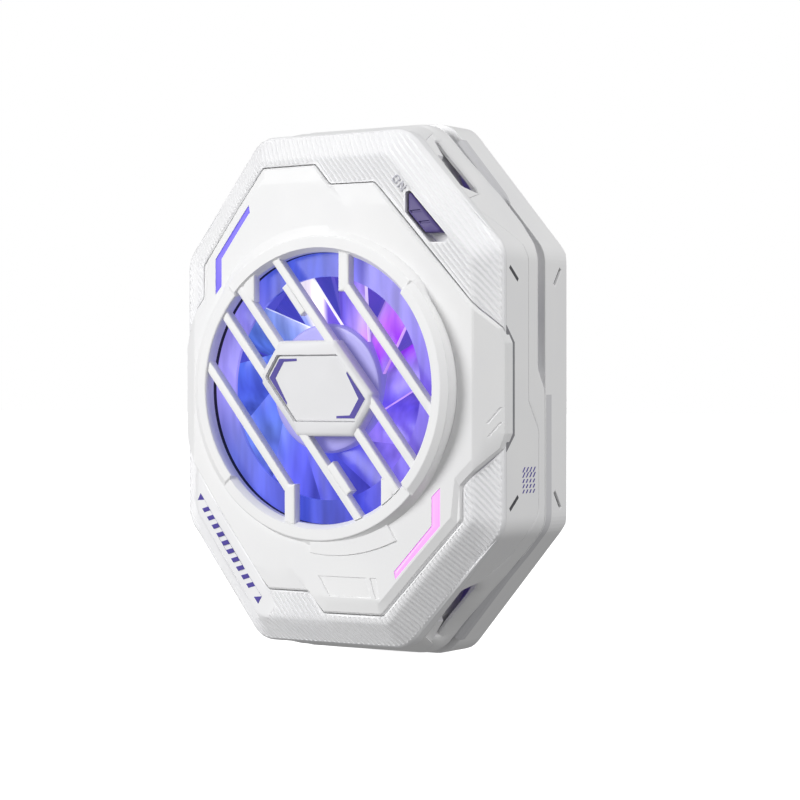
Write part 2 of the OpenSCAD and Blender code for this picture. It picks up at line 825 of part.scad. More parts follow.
module fan_frame() color("#e4e2ee") place() difference() {
    union() {
        collar(intake_r, duct_r, y_duct, y_fins);
        rod(seat_r, y_seat, y_fins);
        for (i = [0 : 3]) rotate([0, 90 * i, 0])
            translate([hub_r - 2, y_seat, -1]) cube([intake_r - hub_r + 2 + eps, seat_t, 2]);
        rod(holder_r, y_bearing, y_seat + eps);
        four(lug_at, lug_at) rod(lug_r, y_fins - 1.4, y_fins);
        for (i = [0 : 3]) rotate([0, 45 + 90 * i, 0])
            translate([intake_r + 0.3, y_fins - 1.4, -1.4]) cube([lug_at * sqrt(2) - intake_r - 0.3, 1.4, 2.8]);
    }
    rod(bearing_r, y_hub, bearing_back);
    four(lug_at, lug_at) rod(0.7, y_fins - 3, y_fins + 1);
}

module motor_board() color("#1d5b3a") place() collar(holder_r + fit, seat_r - 0.6, y_seat - 0.8, y_seat);

module bearing() color("#a98f52") place() collar(shaft_r + shaft_fit, bearing_r - eps, y_bearing, bearing_back);

// Box along each of the four stator poles, of this width and depth span
module pole_boxes(from_r, to_r, width, y0, y1) {
    for (i = [0 : 3]) rotate([0, 45 + 90 * i, 0])
        translate([from_r, y0, -width / 2]) cube([to_r - from_r, y1 - y0, width]);
}

module stator_core() color("#70747a") place() {
    collar(holder_r + fit, core_r, y_core, core_back);
    intersection() {
        collar(core_r - eps, stator_out, y_core, core_back);
        union() {
            pole_boxes(0, hub_r, pole_w, y_core, core_back);
            difference() {
                pole_boxes(0, hub_r, shoe_w, y_core, core_back);
                rod(stator_out - shoe_t, y_hub, y_seat);
            }
        }
    }
}

module stator_coils() color("#b5703a") place() difference() {
    pole_boxes(core_r + 2 * fit, coil_out, coil_w, y_core - coil_t, core_back + coil_t);
    pole_boxes(0, hub_r, pole_w + 2 * fit, y_core - fit, core_back + fit);
}

// Cambered blade between the hub and the tip, which leans back from X and falls away from its front edge
module blade() {
    intersection() {
        collar(hub_r - 0.3, tip_r, blade_front, y_hub_back);
        translate([blade_root, 0, 0]) rotate([0, -blade_lean, 0]) intersection() {
            translate([0, y_hub_back + blade_back, blade_mid - blade_camber]) rotate([0, 90, 0]) difference() {
                cylinder(r = blade_camber, h = intake_r);
                translate([0, 0, -1]) cylinder(r = blade_camber - blade_t, h = intake_r + 2);
            }
            translate([0, 0, -blade_edge]) cube([intake_r, y_hub_back, blade_camber + blade_edge]);
        }
    }
}

module impeller() color("#8f7dff") place() {
    difference() {
        rod(hub_r, y_hub, y_hub_back);
        rod(hub_r - hub_t, y_hub + hub_t, y_hub_back + 1);
    }
    difference() {
        rod(bearing_r, y_hub + hub_t / 2, y_bearing - 0.2);
        rod(shaft_r, y_hub + hub_t, y_hub_back);
    }
    for (i = [0 : blade_count - 1]) rotate([0, -blade_turn - i * 360 / blade_count, 0]) blade();
}

module shaft() color("silver") place() rod(shaft_r, y_hub + hub_t, y_seat + 0.2);

module rotor_yoke() color("#70747a") place() collar(yoke_in, yoke_out, y_hub + hub_t, y_hub_back);

module rotor_magnet() color("#4a4a50") place() collar(magnet_in, yoke_in, y_hub + hub_t, y_hub_back - 0.4);

module switch_body() color("#2a2a2e") place() difference() {
    union() {
        switch_box(2 * ear_l, ear_w, y_switch, y_switch + ear_t);
        switch_box(window_l - 1, window_w + 0.8, y_switch, y_switch + switch_h);
    }
    translate([slide_dir.x * switch_travel / 2, 0, slide_dir.y * switch_travel / 2])
        switch_box(pin_l + switch_travel + 2 * clear, pin_w + 2 * knob_gap, y_switch - 1, y_switch + pin_in + clear);
}

module switch_knob() color("#5f5196") place() {
    intersection() {
        slab(0, knob_back) polygon(grow(window_pts(switch_travel), -knob_gap));
        crown(knob_sunk);
    }
    switch_box(pin_l, pin_w, knob_back - eps, y_switch + pin_in);
}

module case_screws() color("#9a9ca0") place() four(boss_x, boss_z) {
    rod(screw_r, y_vent - 3, y_back - 1.3);
    rod(2 * screw_r, y_back - 1.4, y_back - 0.5);
}

module sink_screws() color("#9a9ca0") place() four(post_x, post_z) {
    rod(0.6, y_sink - eps, y_gap_pad + 4);
    rod(1.3, y_sink - 0.8, y_sink);
}

module fan_screws() color("#9a9ca0") place() four(lug_at, lug_at) {
    rod(0.6, y_fins - 1.4 - eps, y_sink + 0.8);
    rod(1.3, y_fins - 2.2, y_fins - 1.4);
}

front_frame();
front_cover();
intake_grille();
badge_plate();
light_strip_left();
light_strip_right();
light_guide_ring();
ring_gasket();
mid_housing();
vent_ring();
seam_gasket();
rear_shell();
contact_pad();
cold_plate();
magnets();
magnet_yoke();
tec_cold_plate();
tec_pellets();
tec_hot_plate();
thermal_pad();
foam_collar();
thermistor();
heat_sink();
fan_frame();
motor_board();
stator_core();
stator_coils();
bearing();
impeller();
rotor_yoke();
rotor_magnet();
shaft();
led_board();
leds();
main_board();
board_chips();
usb_shell();
usb_tongue();
switch_body();
switch_knob();
case_screws();
sink_screws();
fan_screws();
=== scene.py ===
"""Looks of the phone cooling fan: moulded shells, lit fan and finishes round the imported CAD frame."""
import math

import bmesh
import bpy
import numpy as np
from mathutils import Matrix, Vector
from mathutils.geometry import delaunay_2d_cdt


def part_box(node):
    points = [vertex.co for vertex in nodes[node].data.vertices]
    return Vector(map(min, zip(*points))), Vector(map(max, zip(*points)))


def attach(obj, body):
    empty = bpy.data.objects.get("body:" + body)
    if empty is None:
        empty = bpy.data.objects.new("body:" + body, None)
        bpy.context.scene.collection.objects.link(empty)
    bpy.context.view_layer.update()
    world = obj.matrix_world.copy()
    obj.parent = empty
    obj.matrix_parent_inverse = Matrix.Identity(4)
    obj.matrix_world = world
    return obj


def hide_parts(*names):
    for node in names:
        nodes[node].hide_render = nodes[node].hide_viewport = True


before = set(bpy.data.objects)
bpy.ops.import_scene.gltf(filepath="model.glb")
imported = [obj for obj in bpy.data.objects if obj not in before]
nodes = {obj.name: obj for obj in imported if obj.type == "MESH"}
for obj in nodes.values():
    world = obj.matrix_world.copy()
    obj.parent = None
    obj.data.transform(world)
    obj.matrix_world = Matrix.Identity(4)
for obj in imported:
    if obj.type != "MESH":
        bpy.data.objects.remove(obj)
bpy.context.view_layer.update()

# Working frame: millimetres, x to the right, depth behind the crest of the front frame, z from the fan axis
MM = 0.001
RING_FRONT = -1.35
crest_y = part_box("intake_grille")[0].y - RING_FRONT * MM
axis_z = sum(corner.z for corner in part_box("rear_shell")) / 2

# Sizes shared with the CAD model
BODY_W = 56
BODY_H = 79
BODY_FLAT = 23.6
FRAME_H = 75
SIDE_FLAT = 40
FRAME_FLAT = 26
CORNER_R = 5
WALL = 1.4
CROWN_R = 115
FRAME_BACK = 5.6
MID_DEPTH = 6.5
FRAME_T = 2
COVER_FRONT = -0.6
COVER_BACK = 0.9
COVER_GAP = 0.15
WING_CREASE = 24.6
WING_SLOPE = 0.84
INTAKE_R = 19.85
RING_R = 22.3
FLANGE_R = 23.3
FLANGE_FRONT = 3.335
FLANGE_BACK = 4.135
DUCT_R = 21
REBATE = 0.7
HUB_R = 9.5
HUB_FRONT = 2.05
HUB_BACK = 8.85
BLADE_FRONT = HUB_FRONT + 0.5
TIP_R = 19.2
BLADES = 11
BLADE_TURN = 8.4
BAR_W = 1.4
BAR_FRONT = -1.0
BAR_BACK = 0.4
BADGE_FRONT = -1.25
BADGE_BACK = 0.95
BADGE_SUNK = 0.8
STRIP_T = 0.5
KNOB_SUNK = 0.35
KNOB_BACK = 3.9
KNOB_GAP = 0.25
SWITCH_TRAVEL = 1.5


def turned(pts):
    """The same points after half a turn."""
    return [(-x, -z) for x, z in pts]


def octagon(width, height, flat_w, flat_h):
    half = [(width, -flat_h), (width, flat_h), (flat_w, height), (-flat_w, height)]
    half = [(x / 2, z / 2) for x, z in half]
    return half + turned(half)


FRAME_PTS = octagon(BODY_W, FRAME_H, FRAME_FLAT, SIDE_FLAT)
BODY_PTS = octagon(BODY_W, BODY_H, BODY_FLAT, SIDE_FLAT)
COVER_HALF = [
    (10.6, -32.6), (22.8, -18.7), (22.8, -13.8), (27.7, -8.6), (28.4, -6.4), (28.4, 6.4),
    (27.7, 8.5), (25.0, 11.1), (10.1, 28.7), (9.2, 29.6), (1.8, 29.6), (-0.8, 32.6),
]
COVER_PTS = COVER_HALF + turned(COVER_HALF)
STRIP_PTS = [(19.8, -14.1), (18.5, -15.4), (18.5, -19.5), (12.7, -26.2), (12.9, -27.3), (19.8, -19.5)]
HEX_HALF = [(6.6, -7.0), (9.7, -2.3), (9.7, -0.7), (3.4, 7.0)]
HEX_PTS = HEX_HALF + turned(HEX_HALF)
PLATE_HALF = [(6.8, -4.8), (8.8, -1.7), (3.7, 4.8)]
PLATE_PTS = PLATE_HALF + turned(PLATE_HALF)
BAR_DIR = np.array([0.625, -0.78])
BAR_OUT = np.array([0.78, 0.625])
SLIDE_DIR = np.array([0.6508, -0.7593])
SLIDE_OUT = np.array([0.7593, 0.6508])
WINDOW_MID = np.array([16.8, 24.0])
WINDOW_SHAPE = [(-2.58, -1.3), (3.17, -1.3), (4.8, 0.6), (4.45, 1.3), (-4.45, 1.3), (-4.8, 0.6)]


def slanted(origin, shape):
    """A shape given along and out from the slanted upper right edge, placed at an origin."""
    return np.array([origin + SLIDE_DIR * along + SLIDE_OUT * out for along, out in shape])


def window_pts(cut):
    """Outline of the switch window, cut short at its lower end."""
    return slanted(WINDOW_MID, [(s - cut if s > 0 else s, out) for s, out in WINDOW_SHAPE])


# Plane geometry
def outward(run):
    """Unit vectors to the right of each step of an anticlockwise line."""
    run = run / np.linalg.norm(run, axis=1)[:, None]
    return np.stack([run[:, 1], -run[:, 0]], 1)


def grow(pts, d):
    """An anticlockwise outline moved outward by d."""
    p = np.asarray(pts, float)
    out = outward(np.roll(p, -1, 0) - p)
    before = np.roll(out, 1, 0)
    return p + (out + before) * d / (1 + (out * before).sum(1))[:, None]


def rounded(pts, radius, steps):
    """An outline with its corners rounded."""
    p = np.asarray(pts, float)
    result = []
    for before, corner, after in zip(np.roll(p, 1, 0), p, np.roll(p, -1, 0)):
        a = before - corner
        b = after - corner
        len_a = np.linalg.norm(a)
        len_b = np.linalg.norm(b)
        half = math.acos(np.clip(a @ b / len_a / len_b, -1, 1)) / 2
        cut = min(radius / math.tan(half), 0.48 * len_a, 0.48 * len_b)
        start = corner + a / len_a * cut
        end = corner + b / len_b * cut
        for t in np.linspace(0, 1, steps + 1):
            result.append((1 - t) ** 2 * start + 2 * t * (1 - t) * corner + t * t * end)
    return np.array(result)


def arc(r0, r1, a0, a1, steps=40):
    """Points from one radius and angle in degrees to another."""
    turn = np.radians(np.linspace(a0, a1, steps + 1))
    return np.linspace(r0, r1, steps + 1)[:, None] * np.stack([np.cos(turn), np.sin(turn)], 1)


def circle(r):
    return arc(r, r, 0, 360, 144)[:-1]


def inset(points, outline):
    """Distance of each point from a closed outline, positive inside it."""
    p = np.asarray(points, float)
    corners = np.asarray(outline, float)
    best = np.full(len(p), np.inf)
    inside = np.zeros(len(p), bool)
    for a, b in zip(corners, np.roll(corners, -1, 0)):
        run = b - a
        t = np.clip((p - a) @ run / (run @ run), 0, 1)
        best = np.minimum(best, ((p - a - t[:, None] * run) ** 2).sum(1))
        if a[1] != b[1]:
            crosses = (a[1] > p[:, 1]) != (b[1] > p[:, 1])
            inside ^= crosses & (p[:, 0] < a[0] + run[0] * (p[:, 1] - a[1]) / run[1])
    return np.where(inside, 1, -1) * np.sqrt(best)


def within(outline):
    """A test for points inside an outline."""
    return lambda p: inset(p, outline) > 0


def line_at(place, table):
    """The value at a place in a table of (place, value)."""
    return np.interp(place, *zip(*table))


def fall(p, outline, edge):
    """Fall of a rounded edge, from a table of (distance inside the outline, fall)."""
    return line_at(inset(p, outline), edge)


def edge_steps(edge):
    """Distances inside the outline at which such a table bends."""
    return [distance for distance, _ in edge[1:]]


def depth_in(p, shapes):
    """Distance inside the nearest of some outlines, negative outside them all."""
    return np.max([inset(p, shape) for shape in shapes], 0)


def ramp(value, start, end):
    """Smooth step from 0 at start to 1 at end."""
    t = np.clip((value - start) / (end - start), 0, 1)
    return t * t * (3 - 2 * t)


def level(depth):
    """A flat surface."""
    return lambda p: np.full(len(p), depth)


def sag(x):
    """Depth of the crowned front at x, behind its crest."""
    return CROWN_R - np.sqrt(CROWN_R ** 2 - np.asarray(x) ** 2)


def crowned(depth):
    """A surface that follows the crowned front, this far behind it."""
    return lambda p: sag(p[:, 0]) + depth


def winged(x):
    """Depth of the cover's surface, which folds down along both wings."""
    side = np.abs(x)
    return sag(np.minimum(side, WING_CREASE)) + WING_SLOPE * np.maximum(side - WING_CREASE, 0)


# Mesh building
def add(name, data):
    obj = bpy.data.objects.new(name, data)
    bpy.context.scene.collection.objects.link(obj)
    return obj


def build(name, points, faces, sharp=32):
    """A mesh object from working points, welded, facing outward and smooth between its sharp edges."""
    mesh = bpy.data.meshes.new(name)
    place = np.asarray(points, float) * MM + np.array([0, crest_y, axis_z])
    mesh.from_pydata(place.tolist(), [], [tuple(int(i) for i in face) for face in faces])
    bm = bmesh.new()
    bm.from_mesh(mesh)
    bmesh.ops.remove_doubles(bm, verts=bm.verts, dist=1e-7)
    bmesh.ops.recalc_face_normals(bm, faces=bm.faces)
    bm.to_mesh(mesh)
    bm.free()
    mesh.shade_smooth()
    mesh.set_sharp_from_angle(angle=math.radians(sharp))
    return add(name, mesh)


def relief(name, loops, guides, keep, front, back, sharp=32):
    """A closed plate whose front and back depths follow two functions of x and z.

    loops are closed lines and guides open ones, which the mesh follows. keep says which points belong to it.
    """
    coords = []
    edges = []
    for line, closed in [(pts, True) for pts in loops] + [(pts, False) for pts in guides]:
        first = len(coords)
        coords += [Vector((float(x), float(z))) for x, z in line]
        edges += [(i, i + 1) for i in range(first, len(coords) - 1)]
        if closed:
            edges.append((len(coords) - 1, first))
    flat, _, triangles, *_ = delaunay_2d_cdt(coords, edges, [], 0, 1e-5)
    flat = np.array([tuple(p) for p in flat])
    triangles = np.array([tuple(t) for t in triangles])
    triangles = triangles[keep(flat[triangles].mean(1))]
    used, triangles = np.unique(triangles, return_inverse=True)
    triangles = triangles.reshape(-1, 3)
    flat = flat[used]
    count = len(flat)
    points = np.concatenate([np.stack([flat[:, 0], side(flat), flat[:, 1]], 1) for side in (front, back)])
    directed = {(a, b) for t in triangles.tolist() for a, b in zip(t, t[1:] + t[:1])}
    walls = [(b, a, a + count, b + count) for a, b in directed if (b, a) not in directed]
    faces = triangles.tolist() + (triangles[:, ::-1] + count).tolist() + sorted(walls)
    return build(name, points, faces, sharp)


def band_faces(loops, size, first=0, closed=True):
    """Faces of a band through loops of one size, whose points are numbered from first."""
    faces = []
    for k in range(loops if closed else loops - 1):
        a = first + k * size
        b = first + (k + 1) % loops * size
        for i in range(size):
            j = (i + 1) % size
            faces.append((a + i, a + j, b + j, b + i))
    return faces


def tube(points, faces, loops):
    """Adds a tube through loops of one size, closed at both ends."""
    first = len(points)
    size = len(loops[0])
    for loop in loops:
        points += loop
    last = len(points) - size
    faces += [range(first, first + size), range(last + size - 1, last - 1, -1)]
    faces += band_faces(len(loops), size, first, False)


def lathe(name, profile, turns, sharp=32):
    """A ring round the fan axis: profile(angle) gives a closed loop of (radius, depth) points."""
    points = [
        (r * math.cos(angle), depth, r * math.sin(angle)) for angle in turns for r, depth in profile(angle)
    ]
    return build(name, points, band_faces(len(turns), len(points) // len(turns)), sharp)


SIDE_STEPS = 40
ARC_STEPS = 8


def perimeter(pts):
    """Points round an outline with rounded corners, as many for every octagon, and the directions outward."""
    arcs = rounded(pts, CORNER_R, ARC_STEPS).reshape(len(pts), ARC_STEPS + 1, 2)
    result = []
    for corner, following in zip(arcs, np.roll(arcs, -1, 0)):
        run = following[0] - corner[-1]
        result += [*corner, *(corner[-1] + run * t for t in np.linspace(0, 1, SIDE_STEPS + 1)[1:-1])]
    line = np.array(result)
    return line, outward(np.roll(line, -1, 0) - np.roll(line, 1, 0))


def sweep(name, section):
    """A closed band round the case: section(x, z) gives its loop of (depth, outward offset) points.

    The outline widens from the frame's to the shells' over the depth of the middle housing.
    """
    narrow = perimeter(FRAME_PTS)[0]
    wide, out = perimeter(BODY_PTS)
    points = []
    for a, b, normal in zip(narrow, wide, out):
        for depth, offset in section(*b):
            t = np.clip((depth - FRAME_BACK) / MID_DEPTH, 0, 1)
            x, z = a + (b - a) * t + normal * offset
            points.append((x, depth, z))
    return build(name, points, band_faces(len(wide), len(points) // len(wide)), 25)


def finished(obj, body, slot, material, *stands_for):
    """The piece rides on a body, takes its finish and hides the CAD nodes that it stands in for."""
    obj.data.materials.append(material)
    obj.modifiers.new("normals", "WEIGHTED_NORMAL").keep_sharp = True
    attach(obj, body)
    if stands_for:
        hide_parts(*stands_for)


# Materials
class Finish:
    """A procedural material, built node by node round one principled shader."""

    def __init__(self, name, roughness, **inputs):
        self.material = bpy.data.materials.new(name)
        self.material.use_nodes = True
        self.tree = self.material.node_tree
        self.shader = self.tree.nodes["Principled BSDF"]
        self.place = self.node("ShaderNodeTexCoord").outputs["Object"]
        self.feed(self.shader, Roughness=roughness, **inputs)

    def put(self, target, value):
        """An input takes a value, or a link from another node's output."""
        if isinstance(value, bpy.types.NodeSocket):
            self.tree.links.new(value, target)
        else:
            target.default_value = value

    def feed(self, node, **inputs):
        for name, value in inputs.items():
            self.put(node.inputs[name.replace("_", " ")], value)

    def node(self, kind, **inputs):
        made = self.tree.nodes.new(kind)
        self.feed(made, **inputs)
        return made

    def noise(self, scale, detail=3.0, stretch=1.0):
        """Noise in the object's own space, in grains to a metre. A stretch below 1 draws it out along z."""
        place = self.place
        if stretch != 1:
            place = self.node("ShaderNodeMapping", Vector=place, Scale=(1, 1, stretch)).outputs["Vector"]
        return self.node("ShaderNodeTexNoise", Vector=place, Scale=scale, Detail=detail).outputs["Fac"]

    def remap(self, source, low, high, start=0.0, end=1.0):
        """The source's span from start to end, moved to low and high."""
        made = self.node("ShaderNodeMapRange", Value=source, From_Min=start, From_Max=end)
        self.feed(made, To_Min=low, To_Max=high)
        return made.outputs["Result"]

    def maths(self, operation, *values):
        made = self.node("ShaderNodeMath")
        made.operation = operation
        for target, value in zip(made.inputs, values):
            self.put(target, value)
        return made.outputs["Value"]

    def colours(self, source, stops, target="Base_Color"):
        """The source drives a colour ramp of (place, colour) stops."""
        made = self.node("ShaderNodeValToRGB", Fac=source)
        band = made.color_ramp
        while len(band.elements) < len(stops):
            band.elements.new(0.5)
        for element, (place, colour) in zip(band.elements, stops):
            element.position = place
            element.color = (*colour, 1)
        self.feed(self.shader, **{target: made.outputs["Color"]})

    def tones(self, source, dark, light, spread=0.2):
        """Two hex colours, blended over a spread to each side of the source's middle."""
        self.colours(source, [(0.5 - spread, linear(dark)), (0.5 + spread, linear(light))])

    def rough(self, source, low, high):
        self.feed(self.shader, Roughness=self.remap(source, low, high))

    def bump(self, source, strength, distance):
        made = self.node("ShaderNodeBump", Height=source, Strength=strength, Distance=distance)
        self.feed(self.shader, Normal=made.outputs["Normal"])


def linear(code):
    """A hex colour as linear light."""
    parts = [int(code[i:i + 2], 16) / 255 for i in (1, 3, 5)]
    return tuple(c / 12.92 if c <= 0.04045 else ((c + 0.055) / 1.055) ** 2.4 for c in parts)


def moulded(name, code, dark, roughness, grain=2600.0):
    """Moulded plastic: a fine matt grain, faint flow marks in the colour and uneven gloss."""
    made = Finish(name, roughness, IOR=1.49)
    made.tones(made.noise(90.0, 2.0), dark, code)
    made.rough(made.noise(420.0), roughness - 0.07, roughness + 0.07)
    made.bump(made.noise(grain, 2.0), 0.12, 0.00004)
    return made.material


def metal(name, code, dark, roughness, scale):
    """Metal with a worked surface: streaky colour, gloss and fine scratches."""
    made = Finish(name, roughness, Metallic=1.0)
    made.tones(made.noise(scale, 5.0), dark, code, 0.25)
    made.rough(made.noise(scale * 3), roughness - 0.1, roughness + 0.12)
    made.bump(made.noise(scale * 8, 4.0), 0.15, 0.00003)
    return made.material


def glowing(name, codes, strength, axis, start, end, roughness=0.3):
    """Glowing plastic: its glow runs through colours along one axis, with soft brighter spots. On the light
    strips this is their own light; on the hub, the heat sink and the fan frame it is painted light.
    """
    made = Finish(name, roughness, IOR=1.5)
    split = made.node("ShaderNodeSeparateXYZ", Vector=made.place).outputs
    stops = [(i / (len(codes) - 1), linear(code)) for i, code in enumerate(codes)]
    made.colours(made.remap(split[axis], 0, 1, start, end), stops, "Emission_Color")
    made.tones(made.noise(160.0, 2.0), codes[0], codes[-1])
    spots = made.remap(made.noise(140.0, 2.0), strength * 0.75, strength * 1.25)
    made.feed(made.shader, Emission_Strength=spots)
    return made.material


def round_glow(name, stops, base, strength, near, far):
    """Lit plastic whose glow changes round the fan axis, dimmed by painted shade from a near depth to a far
    one.

    stops are in degrees. Painted light streaks along z make the glow uneven.
    """
    made = Finish(name, 0.32, IOR=1.4)
    split = made.node("ShaderNodeSeparateXYZ", Vector=made.place).outputs
    flat = made.node("ShaderNodeCombineXYZ", X=split["X"], Y=made.maths("SUBTRACT", split["Z"], axis_z))
    turn = made.node("ShaderNodeTexGradient", Vector=flat.outputs["Vector"])
    turn.gradient_type = "RADIAL"
    made.colours(turn.outputs["Fac"], [(0.5 + a / 360, linear(code)) for a, code in stops], "Emission_Color")
    made.tones(made.noise(220.0, 3.0), *base)
    # Painted shade dims the glow deeper in; painted light streaks along z make it uneven.
    depth_shade = made.remap(split["Y"], strength, strength * 0.4, crest_y + near * MM, crest_y + far * MM)
    light_streaks = made.remap(made.noise(420.0, 2.0, 0.16), 0.65, 1.35, 0.3, 0.7)
    made.feed(made.shader, Emission_Strength=made.maths("MULTIPLY", depth_shade, light_streaks))
    return made.material


# Glow of the blades round the axis. The white stops at 96° to 109° are a painted highlight on the upper
# blade; the darker purple just before them is painted shade on the blade behind.
lit_fan = round_glow("lit_fan", [
    (-180, "#4a60dc"), (-150, "#6a84e4"), (-120, "#6468e8"), (-90, "#484ec8"), (-60, "#5450cc"),
    (-40, "#9078ec"), (-12, "#6450e0"), (12, "#9c84f0"), (27, "#a030ff"), (44, "#c468ff"), (60, "#b898f0"),
    (80, "#6450c8"), (92, "#6a50c4"), (96, "#fff2ff"), (109, "#fff6ff"), (118, "#a0b0f0"), (148, "#5c7ede"),
    (180, "#4a60dc"),
], ("#1e1e66", "#282270"), 1.0, BLADE_FRONT, HUB_BACK)
# Painted highlight along the blade rims, white at the top.
rim_highlight = round_glow("rim_highlight", [
    (-180, "#9cb4ff"), (-60, "#b4a0ff"), (20, "#e4a8ff"), (100, "#ffffff"), (180, "#9cb4ff"),
], ("#3c3c8c", "#4c4496"), 0.9, BLADE_FRONT, HUB_BACK)
lit_guide = round_glow("lit_guide", [
    (-180, "#a298f2"), (-150, "#707ce6"), (-120, "#5460dc"), (-90, "#4050cc"), (-60, "#5454de"),
    (-42, "#8c7af0"), (0, "#866cf2"), (45, "#a89cfa"), (66, "#948ef4"), (90, "#5060d0"), (120, "#4c5cd6"),
    (150, "#988eee"), (180, "#a298f2"),
], ("#202068", "#282470"), 0.8, 1.4, 4.0)
white = moulded("white_plastic", "#f2f2f2", "#efeff0", 0.5)
white_ribbed = moulded("white_ribbed", "#f3f3f4", "#f0f0f2", 0.4, 3200.0)
strip_violet = glowing("strip_violet", ("#7468e6", "#8478ee"), 0.4, "Z", 0.05, 0.07)
strip_pink = glowing("strip_pink", ("#f29cf6", "#f4a8f8"), 0.5, "Z", 0.01, 0.026)
# Painted light: the hub glows lavender as if lit by the fan's LEDs.
painted_hub_glow = glowing("painted_hub_glow", ("#8f8cd0", "#9c96d4"), 0.27, "X", -0.01, 0.01, 0.4)
knob_violet = moulded("knob_violet", "#574a8a", "#50437e", 0.45)
print_violet = moulded("print_violet", "#4c3fa0", "#453896", 0.55)
print_grey = moulded("print_grey", "#c3c3cb", "#b9b9c2", 0.5)
# Grey of the flush band in the seam's groove: the gasket, darkened with painted shade of the groove.
gasket_grey_with_shade = moulded("gasket_grey_with_shade", "#d6d6d9", "#d0d0d3", 0.6)
# Grey of the strips that paint the shade in the gap round the wing ends.
gap_shade_grey = moulded("gap_shade_grey", "#8c8c90", "#848488", 0.6)
slit_dark = moulded("slit_dark", "#56565a", "#4c4c50", 0.7)
badge_white = moulded("badge_white", "#e6e6e8", "#e2e2e4", 0.5)
badge_frame = moulded("badge_frame", "#e8e8ea", "#e4e4e6", 0.5)

# Finishes of the CAD nodes that the scene shows as packed
CAD_FINISH = [
    (white, "rear_shell"),
    (moulded("grey_rubber", "#e2e2e5", "#aeaeb6", 0.62), "seam_gasket"),
    (moulded("black_rubber", "#17171c", "#101014", 0.6), "ring_gasket"),
    (moulded("silicone", "#d3d4d8", "#c9cacf", 0.55), "contact_pad"),
    (metal("aluminium", "#d2d4d8", "#b8bac0", 0.35, 700.0), "cold_plate"),
    # Painted light: the aluminium heat sink glows blue to violet as if lit by the LEDs.
    (glowing("painted_sink_glow", ("#525cbc", "#6a60c0", "#9878d0"), 0.4, "X", -0.018, 0.018, 0.35), "heat_sink"),
    (metal("magnet", "#b4b6bb", "#9c9ea4", 0.28, 500.0), "magnets"),
    (metal("steel", "#a9acb2", "#8b8e95", 0.32, 900.0),
     "magnet_yoke rotor_yoke stator_core case_screws sink_screws fan_screws shaft"),
    (metal("ferrite", "#55565c", "#45464c", 0.5, 600.0), "rotor_magnet"),
    (moulded("ceramic", "#f0efe9", "#e4e3dc", 0.5), "tec_cold_plate tec_hot_plate"),
    (moulded("pellet", "#74767c", "#5c5e64", 0.5), "tec_pellets"),
    (moulded("thermal_pad", "#8fa7c4", "#829abb", 0.7), "thermal_pad"),
    (moulded("foam", "#3a3b42", "#2c2d33", 0.9, 900.0), "foam_collar"),
    # Painted light: the fan frame glows blue to violet as if lit by the LEDs.
    (glowing("painted_frame_glow", ("#5c66c4", "#7468c8", "#a884dc"), 0.42, "X", -0.02, 0.02, 0.35), "fan_frame"),
    (moulded("circuit_board", "#1e5d3c", "#184c31", 0.35), "motor_board led_board main_board"),
    (moulded("black_plastic", "#232328", "#1b1b20", 0.45), "board_chips usb_tongue switch_body thermistor"),
    (moulded("led_lens", "#efe9ff", "#e2daf8", 0.2), "leds"),
    (metal("copper", "#c8804a", "#a8642f", 0.3, 1500.0), "stator_coils"),
    (metal("bronze", "#b49a5c", "#987f45", 0.4, 800.0), "bearing"),
    (metal("nickel", "#cfd0d2", "#b5b6b9", 0.22, 700.0), "usb_shell"),
    (lit_guide, "light_guide_ring"),
]


def soften(obj, width):
    """Small round edges on a CAD node, left to modifiers so that its mesh stays as packed."""
    weld = obj.modifiers.new("weld", "WELD")
    weld.merge_threshold = 1e-6
    flat = obj.modifiers.new("flat", "DECIMATE")
    flat.decimate_type = "DISSOLVE"
    flat.angle_limit = math.radians(1)
    edge = obj.modifiers.new("edge", "BEVEL")
    edge.width = width * MM
    edge.segments = 2
    edge.limit_method = "ANGLE"
    edge.angle_limit = math.radians(28)
    obj.modifiers.new("normals", "WEIGHTED_NORMAL").keep_sharp = True


for finish, names in CAD_FINISH:
    for name in names.split():
        nodes[name].data.materials.clear()
        nodes[name].data.materials.append(finish)
soften(nodes["rear_shell"], 0.18)


# Ribbed bezel round the cover
BEVEL_W = 3.8
BEVEL_D = 2.6
BEVEL_STOP = 0.5
BEVEL_SHARE = [(0, 1.06), (BEVEL_W - 0.2, 0.05), (BEVEL_W + 0.2, 0)]
FRAME_EDGE = [(0, 0.33), (0.1, 0.1), (0.4, 0)]
RIB_PITCH = 0.65
RIB_HEIGHT = 0.1
RIB_STEPS = 4
RIB_FINE = 0.15
RIB_THIN = 8
RIB_HALF_RUN = 48
RIB_HALF_SPAN = 50
FRAME_FADE = (0.35, 0.5)
RIB_FADE = (0.2, 0.35)
LABEL_FADE = (0, 0.3)
RECESS_WALL = (0.01, 0.05)
RECESS_CLEAR = 0.1
SEAM_CLEAR = 0.05
LEAST_T = 0.4
WING_CUT = WING_CREASE - 0.6
OPENING_R = FLANGE_R + 0.3
frame_line = rounded(FRAME_PTS, CORNER_R, 8)
cover_line = rounded(COVER_PTS, 0.7, 4)
recess_line = rounded(grow(COVER_PTS, COVER_GAP), 0.8, 4)
recess_foot = rounded(grow(COVER_PTS, COVER_GAP - 0.06), 0.75, 4)
window_line = rounded(window_pts(0), 0.35, 3)
LABEL_STRIP = [(-25.6, -17.3), (-24.9, -12.2), (-10.0, -29.8), (-8.2, -32.0), (-10.6, -34.9)]


def rib_mask(p):
    """How far the ribs stand out: they fade out near the edges, the window and the smooth label strip."""
    mask = ramp(inset(p, frame_line), *FRAME_FADE)
    for outline, fade in ((recess_line, RIB_FADE), (window_line, RIB_FADE), (LABEL_STRIP, LABEL_FADE)):
        mask *= ramp(-inset(p, outline), *fade)
    return mask


